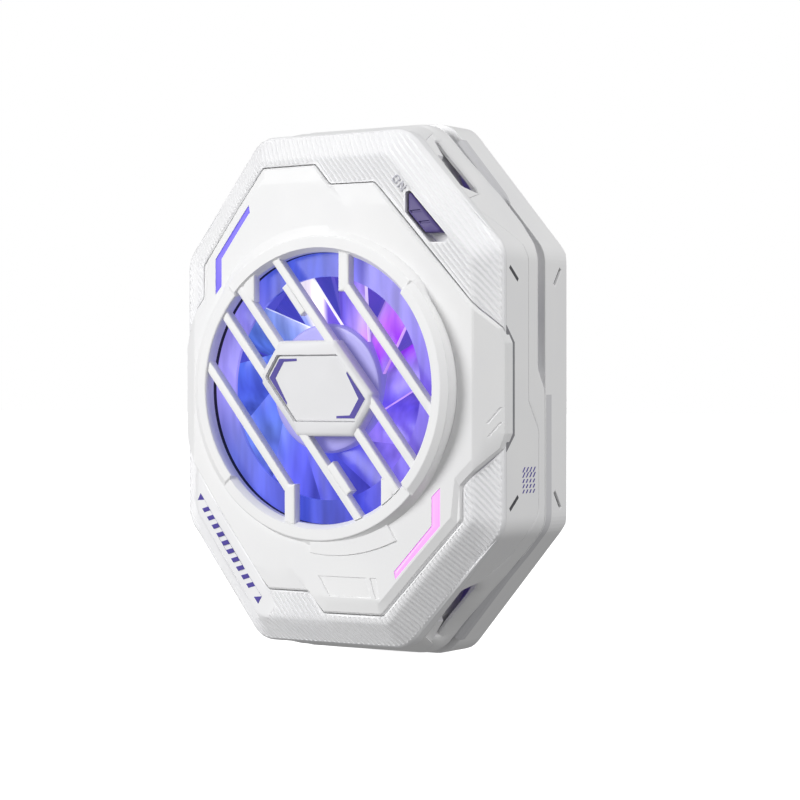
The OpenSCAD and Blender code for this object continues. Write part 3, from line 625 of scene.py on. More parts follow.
def rib_lines():
    """Lines along the ribs, a few for each pitch, over each stretch where the ribs show."""
    lines = []
    along = np.arange(-RIB_HALF_RUN, RIB_HALF_RUN, RIB_FINE)
    reach = int(RIB_HALF_SPAN / RIB_PITCH * RIB_STEPS)
    for k in range(-reach, reach + 1):
        p = BAR_OUT * (k * RIB_PITCH / RIB_STEPS) + along[:, None] * BAR_DIR
        shown = rib_mask(p) > 0.02
        breaks = np.flatnonzero(np.diff(shown.astype(int))) + 1
        for run, flags in zip(np.split(p, breaks), np.split(shown, breaks)):
            if flags[0] and len(run) > 4:
                lines.append(np.concatenate([run[:2], run[RIB_THIN:-4:RIB_THIN], run[-2:]]))
    return lines


def bezel_front(p):
    """The crowned front with its bevel, which stops short of the frame's back, its ribs and its recess."""
    bevel = np.minimum(BEVEL_D, FRAME_BACK - BEVEL_STOP - sag(p[:, 0])) * fall(p, frame_line, BEVEL_SHARE)
    depth = sag(p[:, 0]) + (bevel + fall(p, frame_line, FRAME_EDGE))
    ribs = np.cos(2 * math.pi / RIB_PITCH * (p @ BAR_OUT))
    depth -= RIB_HEIGHT * ribs * rib_mask(p)
    under_cover = ramp(inset(p, recess_line), *RECESS_WALL)
    recess = COVER_BACK + RECESS_CLEAR + winged(p[:, 0])
    return np.minimum(depth + (recess - depth) * under_cover, FRAME_BACK - SEAM_CLEAR)


def bezel_back(p):
    rim = inset(p, frame_line) < WALL
    plate = np.maximum(sag(p[:, 0]) + FRAME_T, bezel_front(p) + LEAST_T)
    return np.where(rim, FRAME_BACK, np.minimum(plate, FRAME_BACK))


def in_bezel(p):
    under_wing = (inset(p, recess_line) > 0) & (np.abs(p[:, 0]) > WING_CUT)
    opening = np.hypot(*p.T) < OPENING_R
    return (inset(p, frame_line) > 0) & ~under_wing & ~opening & (inset(p, window_line) < 0)


def make_bezel():
    bevel_lines = [*edge_steps(FRAME_EDGE), WALL, WALL + 0.1, *edge_steps(BEVEL_SHARE)]
    loops = [frame_line, recess_line, recess_foot, window_line, circle(OPENING_R)]
    loops += [rounded(grow(FRAME_PTS, -d), CORNER_R - d, 6) for d in bevel_lines]
    guides = rib_lines() + [[(s * WING_CUT, -14), (s * WING_CUT, 14)] for s in (-1, 1)]
    bezel = relief("bezel_ribbed", loops, guides, in_bezel, bezel_front, bezel_back, 28)
    finished(bezel, "housing", "ribbed_white", white_ribbed, "front_frame")


# Raised cover with folded wings, facets, a low crescent and stamped marks
CRESCENT = (-93, -58.8)
CRESCENT_R = (24.0, 25.5)
CRESCENT_RISE = 0.22
LOW_PLATE = [(2.1, -30.2), (10.4, -30.2), (9.9, -27.2), (0.1, -27.2)]
PLATE_SLASH = [(9.2, -30.4), (9.75, -30.4), (8.7, -27.0), (8.15, -27.0)]
PLATE_STAMP = 0.14
PLATE_SOFT = 0.12
WING_SLASHES = [
    [(26.0, -5.0), (26.35, -5.0), (27.9, -2.7), (27.55, -2.7)],
    [(26.1, -6.9), (26.45, -6.9), (27.9, -4.8), (27.55, -4.8)],
]
SLASH_STAMP = 0.1
SLASH_SOFT = 0.06
COVER_EDGE = [(0, 0.4), (0.08, 0.16), (0.3, 0)]
COVER_HOLE_R = RING_R + 0.05
TAB_TOP = -30.4
TAB_LEFT = -1.9
TAB_SLOPE = 0.16
FACET_TOP = -26.3
FACET_LEFT = -11
FACET_SLOPE = 0.09
FACET_D = 0.3
RIDGE = [(-1.2, -30.3), (-4.5, -26.2)]
RIDGE_SOFT = (-0.1, 0.35)
CHAMFER = [(0, 0.6), (1.4, 0)]
CHAMFER_TOP = -18
WING_CHAMFER = [(0, 0.42), (0.84, 0)]
WING_LEFT = 22
COVER_LEAST_T = 0.25


def edge_distance(p, a, b):
    """Distance inside the straight edge from a to b of an anticlockwise outline."""
    return (a - p) @ outward(np.subtract([b], [a]))[0]


def cover_features(p):
    """Depths stamped into half of the cover: the lower tab, its side facet and the long chamfers."""
    x, z = p.T
    tab = np.maximum(0, TAB_TOP - z) * TAB_SLOPE * (x > TAB_LEFT)
    facet = np.clip((FACET_TOP - z) * FACET_SLOPE, 0, FACET_D) * ramp(edge_distance(p, *RIDGE), *RIDGE_SOFT)
    chamfer = line_at(edge_distance(p, *COVER_HALF[:2]), CHAMFER) * (z < CHAMFER_TOP)
    wing = line_at(edge_distance(p, *COVER_HALF[2:4]), WING_CHAMFER) * (x > WING_LEFT) * (z < 0)
    return np.max([tab, facet * (x > FACET_LEFT), chamfer, wing], 0)


def cover_front(p):
    depth = COVER_FRONT + winged(p[:, 0]) + fall(p, cover_line, COVER_EDGE)
    depth += cover_features(p) + cover_features(-p)
    angle = np.degrees(np.arctan2(p[:, 1], p[:, 0]))
    crescent = (angle > CRESCENT[0]) & (angle < CRESCENT[1])
    reach = np.interp(angle, CRESCENT, CRESCENT_R) - np.hypot(*p.T)
    depth -= CRESCENT_RISE * ramp(reach, 0, PLATE_SOFT) * crescent
    panel = np.minimum(inset(p, LOW_PLATE), -inset(p, PLATE_SLASH))
    depth += PLATE_STAMP * ramp(panel, 0, PLATE_SOFT)
    for slash in WING_SLASHES:
        depth += SLASH_STAMP * ramp(inset(p, slash), 0, SLASH_SOFT)
    return depth


def cover_back(p):
    return np.maximum(COVER_BACK + winged(p[:, 0]), cover_front(p) + COVER_LEAST_T)


def in_cover(p):
    opening = np.hypot(*p.T) < COVER_HOLE_R
    return (inset(p, cover_line) > 0) & ~opening & (depth_in(p, [STRIP_PTS, turned(STRIP_PTS)]) < 0)


def make_cover():
    steps = edge_steps(COVER_EDGE) + edge_steps(CHAMFER)
    loops = [cover_line] + [rounded(grow(COVER_PTS, -d), 0.6, 4) for d in steps]
    loops += [circle(COVER_HOLE_R), STRIP_PTS, turned(STRIP_PTS)]
    loops += [LOW_PLATE, grow(LOW_PLATE, -PLATE_SOFT), PLATE_SLASH, grow(PLATE_SLASH, PLATE_SOFT)]
    for slash in WING_SLASHES:
        loops += [slash, grow(slash, -SLASH_SOFT)]
    creases = (WING_CREASE - 0.15, WING_CREASE + 0.15)
    guides = [[(s * x, -16), (s * x, 16)] for s in (-1, 1) for x in creases]
    folds = [[(-3, TAB_TOP), (12, TAB_TOP)], [(-4.5, FACET_TOP), (-14, FACET_TOP)], RIDGE]
    folds.append([(x - 0.3, z - 0.3) for x, z in RIDGE])
    guides += [turned(fold) for fold in folds] + folds
    for step in (0, PLATE_SOFT):
        guides.append(arc(CRESCENT_R[0] - step, CRESCENT_R[1] - step, *CRESCENT))
    for a in CRESCENT:
        guides += [arc(COVER_HOLE_R, CRESCENT_R[1] + 0.1, a + d, a + d, 4) for d in (-0.15, 0.15)]
    guides += [[(x, -30), (x, 30)] for x in range(-26, 27, 2)]
    cover = relief("cover_plate", loops, guides, in_cover, cover_front, cover_back, 12)
    finished(cover, "housing", "white_plastic", white, "front_cover")


STRIP_GAP = 0.04
STRIP_SUNK = 0.06
STRIP_EDGE = [(0, 0.12), (0.2, 0)]


def make_strips():
    for name, pts, slot, finish in (
        ("light_strip_left", turned(STRIP_PTS), "strip_violet", strip_violet),
        ("light_strip_right", STRIP_PTS, "strip_pink", strip_pink),
    ):
        line = grow(pts, -STRIP_GAP)
        strip = relief(
            name + "_lens", [line, grow(pts, -STRIP_GAP - STRIP_EDGE[1][0])], [], within(line),
            lambda p: COVER_FRONT + STRIP_SUNK + sag(p[:, 0]) + fall(p, line, STRIP_EDGE),
            crowned(COVER_FRONT + STRIP_T),
        )
        finished(strip, "housing", slot, finish, name)


# Ring round the intake: level face and wall at the sides, inward slope and skirt above and below
LIP_STEPS = (-42.6, 43, 136, 221)
STEP_HALF = 0.5
LIP_DROP = 0.2
LIP_SLOPE = 0.8
LIP_EDGE = 0.65
LOW_EDGE = 0.3
FACE_R = 21.3
LOW_FACE = 0.75
LOW_INNER = 0.45
SKIRT_W = 1.6
LOW_SKIRT = 0.4
SKIRT_START = (84.0, 86.0)
SKIRT_END = (132.0, 158.0)
NARROW_START = (33.5, 44.0)
NARROW_SHARE = 0.45


def full_lip(angle):
    """1 where the ring has its level face, 0 along the top and the bottom, with short steps between."""
    a = (math.degrees(angle) + 60) % 360 - 60
    steps = [ramp(a, step - STEP_HALF, step + STEP_HALF) for step in LIP_STEPS]
    return float(steps[0] - steps[1] + steps[2] - steps[3])


def skirt_width(angle):
    """How far the skirt spreads: most at the upper left and the lower right, none beside the level faces."""
    a = math.degrees(angle) % 180
    wide = ramp(a, *SKIRT_START)
    return float(wide * (1 - ramp(a, *SKIRT_END)) + NARROW_SHARE * ramp(a, *NARROW_START) * (1 - wide))


def ring_profile(angle):
    low = 1 - full_lip(angle)
    top = RING_FRONT + LIP_DROP * low
    inner = top + LIP_SLOPE * low
    face = FACE_R + LOW_FACE * low
    edge = top + LIP_EDGE - (LIP_EDGE - LOW_EDGE) * low
    foot_r = RING_R + SKIRT_W * skirt_width(angle) * (1 if math.sin(angle) > 0 else LOW_SKIRT)
    foot = COVER_FRONT + float(sag(foot_r * math.cos(angle))) + 0.03
    return [
        (INTAKE_R, inner + 0.2), (INTAKE_R + 0.06, inner + 0.06), (INTAKE_R + 0.2 + LOW_INNER * low, top),
        (face - 0.06, top), (face + 0.06, top + 0.04), (RING_R - 0.06, edge - 0.04), (RING_R, edge + 0.04),
        (foot_r, foot), (foot_r, foot + 0.1), (RING_R, foot + 0.3), (RING_R, FLANGE_FRONT),
        (FLANGE_R, FLANGE_FRONT), (FLANGE_R, FLANGE_BACK), (DUCT_R, FLANGE_BACK), (DUCT_R, REBATE),
        (INTAKE_R, REBATE),
    ]


def bar_polygon(out, start, end):
    a = BAR_OUT * (out - BAR_W / 2)
    b = BAR_OUT * (out + BAR_W / 2)
    return np.array([a + BAR_DIR * start, a + BAR_DIR * end, b + BAR_DIR * end, b + BAR_DIR * start])


def half_grille():
    """Bars, lugs, gussets and bent ends of one half of the grille."""
    return [
        bar_polygon(-13.2, -30, 8.2),
        np.array([(-5.7, -20.3), (-3.8, -20.3), (-3.8, -14.0), (-5.7, -14.0)]),
        bar_polygon(-6.1, -30, 30),
        bar_polygon(-1.5, -30, -8.4),
        np.array([(-13.6, 13.9), (-11.1, 12.8), (-11.1, 16.8), (-12.6, 16.8)]),
        bar_polygon(-5.1, 10, 15.4),
    ]


GRILLE_EDGE = [(0, 0.3), (0.1, 0.1), (0.3, 0)]
GRILLE_ROOT = 0.3
BADGE_CLEAR = 0.6


def make_grille():
    steps = {(step + d) % 360 for step in LIP_STEPS for d in np.linspace(-STEP_HALF, STEP_HALF, 5)}
    turns = np.radians(sorted(steps | set(np.arange(0, 360, 2.0))))
    ring = lathe("intake_ring", ring_profile, turns, 14)
    finished(ring, "housing", "white_plastic", white, "intake_grille")
    shapes = half_grille()
    shapes += [-shape for shape in shapes]
    rim = circle(INTAKE_R + GRILLE_ROOT)
    clear = grow(PLATE_PTS, BADGE_CLEAR)
    loops = [rim, clear] + shapes + [grow(shape, -d) for shape in shapes for d in edge_steps(GRILLE_EDGE)]
    bars = relief(
        "grille_bars", loops, [],
        lambda p: (depth_in(p, shapes) > 0) & (inset(p, rim) > 0) & (inset(p, clear) < 0),
        lambda p: BAR_FRONT + line_at(depth_in(p, shapes), GRILLE_EDGE), level(BAR_BACK), 30,
    )
    finished(bars, "housing", "white_plastic", white, "intake_grille")


HEX_EDGE = [(0, 0.55), (0.15, 0.28), (0.6, 0)]
BADGE_WALL = (-0.12, 0.02)
PLATE_GAP = 0.06
PLATE_EDGE = [(0, 0.15), (0.24, 0)]
PLATE_TOP = BADGE_FRONT + BADGE_SUNK / 2


def make_badge():
    hexagon = rounded(HEX_PTS, 0.7, 4)
    recess = rounded(PLATE_PTS, 0.4, 3)

    def front(p):
        floor = BADGE_SUNK * ramp(inset(p, recess), *BADGE_WALL)
        return BADGE_FRONT + fall(p, hexagon, HEX_EDGE) + floor

    loops = [hexagon] + [rounded(grow(HEX_PTS, -d), 0.6, 4) for d in edge_steps(HEX_EDGE)]
    loops += [recess, rounded(grow(PLATE_PTS, 0.12), 0.45, 3), rounded(grow(PLATE_PTS, -0.05), 0.4, 3)]
    housing = relief("badge_housing", loops, [], within(hexagon), front, level(BADGE_BACK))
    finished(housing, "housing", "white_plastic", badge_frame, "intake_grille")
    line, inner = (rounded(grow(PLATE_PTS, -d), 0.4, 3) for d in (PLATE_GAP, PLATE_GAP + PLATE_EDGE[1][0]))
    plate = relief(
        "badge_face", [line, inner], [], within(line), lambda p: PLATE_TOP + fall(p, line, PLATE_EDGE),
        level(BADGE_FRONT + BADGE_SUNK - 0.01),
    )
    finished(plate, "housing", "badge", badge_white, "badge_plate")


# Fan wheel: cambered blades that lean back and fall away from their front edges
BLADE_CAMBER = 7.5
BLADE_LEAN = 20
BLADE_ROOT = 7.5
BLADE_AXIS = (10.05, -4.1)
BLADE_EDGE = -4.55
BLADE_REAR = 3.3
BLADE_T = 0.8
BLADE_SUNK = 0.3
HUB_FACE = 1.45


def blade_span(across):
    """Ends of the line along a blade at this distance across it, at the hub and at the tip."""
    lean = math.radians(BLADE_LEAN)
    along = np.array([math.cos(lean), math.sin(lean)])
    start = np.array([BLADE_ROOT - across * along[1], across * along[0]])
    mid = start @ along
    ends = [math.sqrt(mid * mid - start @ start + r * r) - mid for r in (HUB_R - BLADE_SUNK, TIP_R)]
    return [start + along * end for end in ends]


def blade_sheet(nu, nv, radius):
    """Grid of points on one side of a blade, on a cylinder of this radius."""
    sheet = np.zeros((nu, nv, 3))
    for k, across in enumerate(np.linspace(BLADE_EDGE, BLADE_REAR, nv)):
        rise = math.sqrt(max(radius ** 2 - (across - BLADE_AXIS[1]) ** 2, 0))
        sheet[:, k, ::2] = np.linspace(*blade_span(across), nu)
        sheet[:, k, 1] = np.clip(BLADE_AXIS[0] - rise, BLADE_FRONT, HUB_BACK)
    return sheet


HUB_T = 0.8


def make_fan():
    nu = 7
    nv = 15
    grid = np.arange(nu * nv).reshape(nu, nv)
    edge = [*grid[:, 0], *grid[-1, 1:], *grid[-2::-1, -1], *grid[0, -2:0:-1]]
    sides = [blade_sheet(nu, nv, radius) for radius in (BLADE_CAMBER, BLADE_CAMBER - BLADE_T)]
    points = []
    faces = []
    rims = []
    for blade in range(BLADES):
        spin = math.radians(BLADE_TURN) + 2 * math.pi * blade / BLADES
        c = math.cos(spin)
        d = math.sin(spin)
        front = len(points)
        back = front + grid.size
        points += [(c * x - d * z, y, d * x + c * z) for side in sides for x, y, z in side.reshape(-1, 3)]
        for a in grid[:-1, :-1].flat:
            faces.append((front + a, front + a + 1, front + a + nv + 1, front + a + nv))
            faces.append((back + a, back + a + nv, back + a + nv + 1, back + a + 1))
        rims += range(len(faces), len(faces) + len(edge))
        faces += [(front + a, front + b, back + b, back + a) for a, b in zip(edge, edge[1:] + edge[:1])]
    blades = build("fan_blades", points, faces, 60)
    finished(blades, "fan_rotor", "fan_plastic", lit_fan, "impeller")
    # The blade rims take the painted highlight.
    blades.data.materials.append(rim_highlight)
    for k in rims:
        blades.data.polygons[k].material_index = 1
    inner_r = HUB_R - HUB_T
    hub_line = [
        (0.05, HUB_FACE), (inner_r, HUB_FACE), (HUB_R - 0.3, HUB_FACE + 0.12), (HUB_R - 0.08, HUB_FACE + 0.4),
        (HUB_R, HUB_FACE + 0.9), (HUB_R, HUB_BACK), (inner_r, HUB_BACK), (inner_r, HUB_FRONT + HUB_T),
        (0.05, HUB_FRONT + HUB_T),
    ]
    hub = lathe("fan_hub", lambda angle: hub_line, np.radians(np.arange(0, 360, 3.0)))
    finished(hub, "fan_rotor", "fan_plastic", painted_hub_glow, "impeller")


# Middle housing and vent ring: bands round the case, with vent windows and round bars across the corners
VENT_FRONT = 6.2
BAR_LINE = 10.3
GROOVE_LINE = 14.9
REAR_LINE = 16.95
GROOVE_DEEP = 2.2
WINDOW_X = 13.2
WINDOW_END = 28.3
CORNER_DROP = 0.45
DROP_FADE = (30, 36)
FRONT_LINE = [
    (-28.5, 9.6), (-24.2, 12.9), (-20.8, 12.9), (-17.5, 15.1), (-6, 15.1), (-1.8, 12.1), (18.5, 12.1),
    (20.7, 11.5), (24.4, 7.6), (25.8, FRAME_BACK + 0.35),
]
WINDOW_LINE = [(WINDOW_END, 9.4), (29.8, VENT_FRONT)]
BAR_REAR = 16.3
BACK_LINE = [
    (-28, BAR_REAR), (-24, REAR_LINE), (-0.2, REAR_LINE), (2.9, GROOVE_LINE), (20, GROOVE_LINE),
    (24, BAR_REAR),
]
BAR_FRONT_LINE = [(WINDOW_END, 9.42), (29.5, 10.9), (36.9, 11.6), (37.4, BAR_LINE + 0.02)]
BAR_STEPS = [0, 0.026, 0.11, 0.22, 0.35, 0.5, 0.7, 0.87, 0.974, 1]
BAR_DROP = [0.75, 0.6, 0.38, 0.2, 0.06, 0, 0.02, 0.2, 0.42, 0.55]
FLUSH_DROP = [0.3, 0.06, 0, 0, 0, 0, 0, 0, 0.05, 0.22]
BAR_EDGE = 1.15
BAR_FADE = (27.3, 31)
BAR_HEEL = 0.3


def lowered(section, z):
    """The section sunk a little along the top and the bottom, less so near the frame."""
    drop = CORNER_DROP * float(ramp(abs(z), *DROP_FADE))
    return [(f, offset - drop * np.clip((f - FRAME_BACK) / MID_DEPTH, 0, 1)) for f, offset in section]


def mid_section(x, z):
    front = FRAME_BACK + 0.02
    rear = line_at(z, FRONT_LINE)
    if abs(z) > WINDOW_END:
        rear = line_at(abs(z), WINDOW_LINE) if abs(x) > WINDOW_X else BAR_LINE
    return lowered([
        (front, -WALL), (front, -0.14), (front + 0.12, 0), (rear - 0.14, 0), (rear - 0.04, -0.05),
        (rear, -0.16), (rear, -WALL),
    ], z)


def vent_section(x, z):
    front = line_at(z, FRONT_LINE) + 0.02
    if abs(z) > WINDOW_END:
        front = line_at(abs(z), BAR_FRONT_LINE)
    rear = line_at(z, BACK_LINE)
    bar = float(ramp(abs(z), *BAR_FADE))
    depths = front + (rear - front) * np.array(BAR_STEPS)
    drops = np.array(FLUSH_DROP) * (1 - bar) + np.array(BAR_DROP) * bar
    edge = -WALL + (WALL - BAR_EDGE) * bar
    inside = [(rear, -GROOVE_DEEP), (front + (rear - front) * BAR_HEEL, -WALL)]
    return lowered([(front, edge)] + list(zip(depths, -drops)) + inside, z)


CHEEK_DEPTHS = (FRAME_BACK + 0.15, BAR_LINE + 0.2)
CHEEK_LINE = [(-20.2, -0.6), (-16.2, -1.1), (-15.7, -2.1), (-20.2, -2.1)]
FLOOR_DEPTHS = (FRAME_BACK + 0.15, GROOVE_LINE)
FLOOR_LINE = [(-20.2, -2.0), (-15.7, -2.0), (-9.4, -4.4), (-9.4, -5.5), (-20.2, -5.5)]


def make_cheeks():
    """A cheek in the upper end of each vent window, on a floor that falls away into the case."""
    surface = np.array([(BODY_W + FRAME_FLAT) / 4, (FRAME_H + SIDE_FLAT) / 4]) @ SLIDE_OUT
    cheeks = ([], [])
    for sx in (-1, 1):
        for sz in (-1, 1):
            for steps, depths in ((CHEEK_LINE, CHEEK_DEPTHS), (FLOOR_LINE, FLOOR_DEPTHS)):
                line = slanted(SLIDE_OUT * surface, steps)
                tube(*cheeks, [[(sx * x, depth, sz * z) for x, z in line] for depth in depths])
    finished(build("vent_cheeks", *cheeks), "housing", "white_plastic", white, "mid_housing")


GASKET_SHADE_LINE = [(-37.5, 16.25, 18.2), (-28, 16.25, 18.2), (-24, 17.2, 18.8), (-0.8, 17.25, 18.8)]
UPPER_GASKET_SHADE = [(27, 16.95, 17.15), (28.6, 16.25, 18.1), (37, 16.25, 18.2)]
SHELL_FRONT = 17.05
GASKET_SHADE_OFFSETS = (-1.2, -0.55, 0.02, 0.02, -0.3)


def make_gasket_and_groove_shade():
    """Flush grey band in the seam behind the vent ring, along the lower walls and across the corners: the
    gasket in the seam's groove, with the groove's shade painted into its grey.
    """
    line, out = perimeter(BODY_PTS)
    gasket_shade = ([], [])
    for stops in (GASKET_SHADE_LINE, UPPER_GASKET_SHADE):
        heights, fronts, backs = zip(*stops)
        shown = np.flatnonzero((line[:, 0] > 0) & (line[:, 1] > heights[0]) & (line[:, 1] < heights[-1]))
        shown = shown[np.argsort(line[shown, 1])]
        for side in (-1, 1):
            loops = []
            for k in shown:
                front, back = (np.interp(line[k, 1], heights, edge) for edge in (fronts, backs))
                depths = (front, front, max(front, SHELL_FRONT), back, back)
                places = [line[k] + out[k] * offset for offset in GASKET_SHADE_OFFSETS]
                loops.append([(side * x, depth, z) for depth, (x, z) in zip(depths, places)])
            tube(*gasket_shade, loops)
    finished(build("gasket_and_groove_shade", *gasket_shade), "housing", "grey_rubber", gasket_grey_with_shade)


# Marks: brackets on the badge, the legend at the switch, dashes on the frame and a hatch on the side
BRACKET = np.array([
    (-5.8, 3.9), (-7.3, 1.5), (-5.2, -2.15), (-5.3, -2.4), (-8.4, 1.55), (-6.6, 4.35), (-3.5, 4.35),
    (-3.5, 4.0),
])
PRINT_T = 0.03
LABEL_AT = np.array([-24.3, -17.0])
LABEL_DASH = [(0, 0), (0.75, 0), (1.35, 1.25), (0.6, 1.25)]
LABEL_ENDS = [[(0, 0.05), (0.9, 1.25), (-0.4, 1.25)], [(18.4, 0), (19.7, 0), (19.3, 1.25)]]
LEGEND_AT = np.array([12.0, 29.85])
LETTER_O = [(0, 0), (0.95, 0), (0.95, 1.25), (0, 1.25)]
LETTER_N = [
    (1.35, 0), (1.51, 0), (1.51, 0.92), (2.16, 0), (2.35, 0), (2.35, 1.25), (2.19, 1.25), (2.19, 0.33),
    (1.54, 1.25), (1.35, 1.25),
]
LETTER_W = 0.17


def printed(name, shapes, surface, depth):
    """Thin violet shapes on a level or crowned surface."""
    sides = (surface(depth - PRINT_T), surface(depth + PRINT_T))
    marks = relief(name, shapes, [], lambda p: depth_in(p, shapes) > 0, *sides)
    finished(marks, "housing", "knob_violet", print_violet)


def make_marks():
    printed("badge_marks", [BRACKET, -BRACKET], level, PLATE_TOP)
    dashes = [[(start + a, b) for a, b in LABEL_DASH] for start in np.arange(1.6, 17.5, 1.6)]
    label = [slanted(LABEL_AT, shape) for shape in dashes + LABEL_ENDS]
    printed("label_dashes", label, crowned, 0)


def make_legend():
    """The letters of ON beside the switch, just proud of the ribs."""
    box = slanted(LEGEND_AT, LETTER_O)
    outer = rounded(box, 0.4, 4)
    hole = rounded(grow(box, -LETTER_W), 0.22, 4)
    letter = slanted(LEGEND_AT, LETTER_N)
    legend = relief(
        "switch_legend", [outer, hole, letter], [],
        lambda p: ((inset(p, outer) > 0) & (inset(p, hole) < 0)) | (inset(p, letter) > 0),
        crowned(-RIB_HEIGHT - PRINT_T), crowned(0.05),
    )
    finished(legend, "housing", "grey_rubber", print_grey)


PROUD = BODY_W / 2 + 0.015
SLITS = [(7.8, PROUD, -52), (20.65, BODY_W / 2 - 0.33, 37)]
SLIT_Z = 16.3
SLIT_L = 3
SLIT_W = 0.55
SLIT_T = 0.2
WING_GAP_SHADE = [(5.7, 8.9), (8.0, 6.5), (8.0, -6.7), (5.7, -9.0)]


def side_prism(points, faces, outline, low, high):
    """Adds a flat prism on a side wall, from an outline of (depth, z) points between two x places."""
    tube(points, faces, [[(x, depth, z) for depth, z in outline] for x in (low, high)])


def make_side_trim():
    """Dark slits in the side walls, and grey strips that paint the shade in the gap round the ends of the
    wings.
    """
    slits = ([], [])
    gap_shade_strips = ([], [])
    for side in (-1, 1):
        for depth, out, slant in SLITS:
            for end in (-1, 1):
                tilt = math.radians(slant) * end
                along = np.array([math.sin(tilt), math.cos(tilt)]) * SLIT_L / 2
                across = np.array([math.cos(tilt), -math.sin(tilt)]) * SLIT_W / 2
                middle = np.array([depth, end * SLIT_Z])
                corners = ((1, 1), (1, -1), (-1, -1), (-1, 1))
                outline = [middle + along * a + across * b for a, b in corners]
                side_prism(*slits, outline, side * (out - SLIT_T), side * out)
        # Painted shade: a flush grey strip where the gap round the wing's end lies in shade.
        side_prism(*gap_shade_strips, WING_GAP_SHADE, side * (BODY_W / 2 - SLIT_T), side * PROUD)
    finished(build("side_slits", *slits), "housing", "black_rubber", slit_dark)
    finished(build("wing_gap_shade_strips", *gap_shade_strips), "housing", "grey_rubber", gap_shade_grey)


HATCH_DEPTHS = (10.2, 11.2, 12.2, 13.2)
HATCH_TOP = -12.0
HATCH_PITCH = 0.75
HATCH_RUNS = (0.62, 0.62, 0.42, 0.42, 0.42)
HATCH_W = 0.3


def make_hatch():
    """Rows of slanted dashes printed on the right side wall."""
    dashes = ([], [])
    for depth in HATCH_DEPTHS:
        for row, run in enumerate(HATCH_RUNS):
            z = HATCH_TOP - row * HATCH_PITCH
            dash = [(0, 0), (HATCH_W, 0), (HATCH_W + run, run + 0.1), (run, run + 0.1)]
            outline = [(depth + d, z + h) for d, h in dash]
            side_prism(*dashes, outline, BODY_W / 2 - PRINT_T, BODY_W / 2 + PRINT_T)
    finished(build("side_hatch", *dashes), "housing", "knob_violet", print_violet)


KNOB_EDGE = [(0, 0.3), (0.08, 0.1), (0.3, 0)]
KNOB_MARKS = (-2.5, -0.4)
KNOB_MARK = [(0, -0.75), (0.5, -0.75), (1.5, 0.55), (1.0, 0.55)]
MARK_STAMP = 0.22
MARK_SOFT = 0.1
SLIP_SHAPE = [(-4.4, -1.6), (5.4, -1.6), (5.4, 1.6), (-4.4, 1.6)]
SLIP_EDGE = [(0, 0.1), (0.2, 0)]
SLIP_GAP = 0.26
SLIP_T = 0.24


def make_knob():
    window = window_pts(SWITCH_TRAVEL)
    line = rounded(grow(window, -KNOB_GAP), 0.3, 3)
    marks = [slanted(WINDOW_MID, [(start + a, b) for a, b in KNOB_MARK]) for start in KNOB_MARKS]

    def front(p):
        depth = KNOB_SUNK + sag(p[:, 0]) + fall(p, line, KNOB_EDGE)
        for mark in marks:
            depth += MARK_STAMP * ramp(inset(p, mark), 0, MARK_SOFT)
        return depth

    near, far = edge_steps(KNOB_EDGE)
    loops = [line, grow(line, -near), rounded(grow(window, -KNOB_GAP - far), 0.25, 3)]
    loops += marks + [grow(mark, -MARK_SOFT) for mark in marks]
    knob = relief("switch_cap", loops, [], within(line), front, level(KNOB_BACK))
    finished(knob, "switch_slider", "knob_violet", knob_violet, "switch_knob")
    slip = rounded(slanted(WINDOW_MID, SLIP_SHAPE), 0.5, 4)
    plate = relief(
        "switch_slip_plate", [slip, grow(slip, -SLIP_EDGE[1][0])], [], within(slip),
        lambda p: sag(p[:, 0]) + FRAME_T + SLIP_GAP + fall(p, slip, SLIP_EDGE),
        crowned(FRAME_T + SLIP_GAP + SLIP_T),
    )
    finished(plate, "switch_slider", "knob_violet", white, "switch_knob")


make_bezel()
make_cover()
make_strips()
make_grille()
make_badge()
make_fan()
make_knob()
finished(sweep("mid_band", mid_section), "housing", "white_plastic", white, "mid_housing")
finished(sweep("vent_band", vent_section), "housing", "white_plastic", white, "vent_ring")
make_cheeks()
make_gasket_and_groove_shade()
make_marks()
make_legend()
make_side_trim()
make_hatch()


# Floor, light and camera
FLOOR_HALF = 4.0
FLOOR_DROP = 0.0005


def make_stage():
    mesh = bpy.data.meshes.new("floor")
    corners = ((-1, -1), (1, -1), (1, 1), (-1, 1))
    mesh.from_pydata([(x * FLOOR_HALF, y * FLOOR_HALF, 0) for x, y in corners], [], [(0, 1, 2, 3)])
    floor = add("floor", mesh)
    floor.location.z = -FLOOR_DROP
    paper = Finish("floor_paper", 0.9, Specular_IOR_Level=0.1)
    paper.colours(paper.noise(40.0), [(0.3, (0.94, 0.94, 0.94)), (0.7, (0.96, 0.96, 0.96))])
    paper.feed(paper.shader, Emission_Color=(1, 1, 1, 1), Emission_Strength=0.9)
    mesh.materials.append(paper.material)
    floor.visible_diffuse = False
    floor.visible_glossy = False


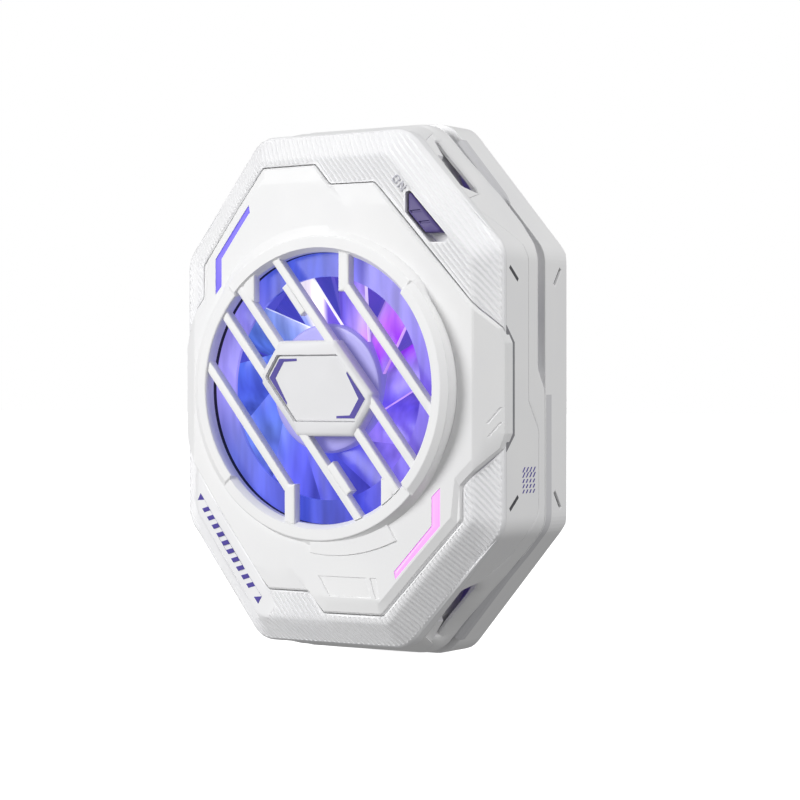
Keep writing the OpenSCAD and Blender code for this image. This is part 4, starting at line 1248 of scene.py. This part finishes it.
def area_light(name, place, size, power):
    """A soft box at a place, aimed at the middle of the object."""
    data = bpy.data.lights.new(name, "AREA")
    data.shape = "DISK"
    data.size = size
    data.energy = power
    light = add(name, data)
    light.location = place
    aim = Vector((0, 0, axis_z)) - Vector(place)
    light.rotation_euler = aim.to_track_quat("-Z", "Y").to_euler()


SKY_LIGHT = 0.28


def make_world():
    """A white sky for the camera, and a dimmer one that lights the object."""
    world = bpy.data.worlds.new("studio")
    bpy.context.scene.world = world
    world.use_nodes = True
    tree = world.node_tree
    seen = tree.nodes["Background"]
    lit = tree.nodes.new("ShaderNodeBackground")
    for background, strength in ((seen, 1.0), (lit, SKY_LIGHT)):
        background.inputs["Color"].default_value = (1, 1, 1, 1)
        background.inputs["Strength"].default_value = strength
    path = tree.nodes.new("ShaderNodeLightPath")
    mix = tree.nodes.new("ShaderNodeMixShader")
    tree.links.new(path.outputs["Is Camera Ray"], mix.inputs["Fac"])
    tree.links.new(lit.outputs["Background"], mix.inputs[1])
    tree.links.new(seen.outputs["Background"], mix.inputs[2])
    tree.links.new(mix.outputs["Shader"], tree.nodes["World Output"].inputs["Surface"])


CAMERA_AZIMUTH = 34.1
CAMERA_ELEVATION = -0.16
CAMERA_DISTANCE = 0.3452
CAMERA_AIM = 2.55


def make_camera():
    data = bpy.data.cameras.new("camera")
    data.lens = 106.0
    data.sensor_width = 36
    data.shift_x = 0.088
    data.shift_y = -0.0145
    data.clip_start = 0.01
    turn = math.radians(CAMERA_AZIMUTH)
    tilt = math.radians(CAMERA_ELEVATION)
    back = Vector((math.sin(turn) * math.cos(tilt), -math.cos(turn) * math.cos(tilt), math.sin(tilt)))
    camera = add("camera", data)
    camera.location = Vector((0, crest_y + CAMERA_AIM * MM, axis_z)) + back * CAMERA_DISTANCE
    camera.rotation_euler = back.to_track_quat("Z", "Y").to_euler()
    bpy.context.scene.camera = camera


make_stage()
make_world()
area_light("key", (-0.44, -0.82, 0.33), 0.5, 7.7)
area_light("side", (0.645, 0.04, 0.607), 0.5, 4.1)
make_camera()
bpy.context.scene.view_settings.view_transform = "Standard"
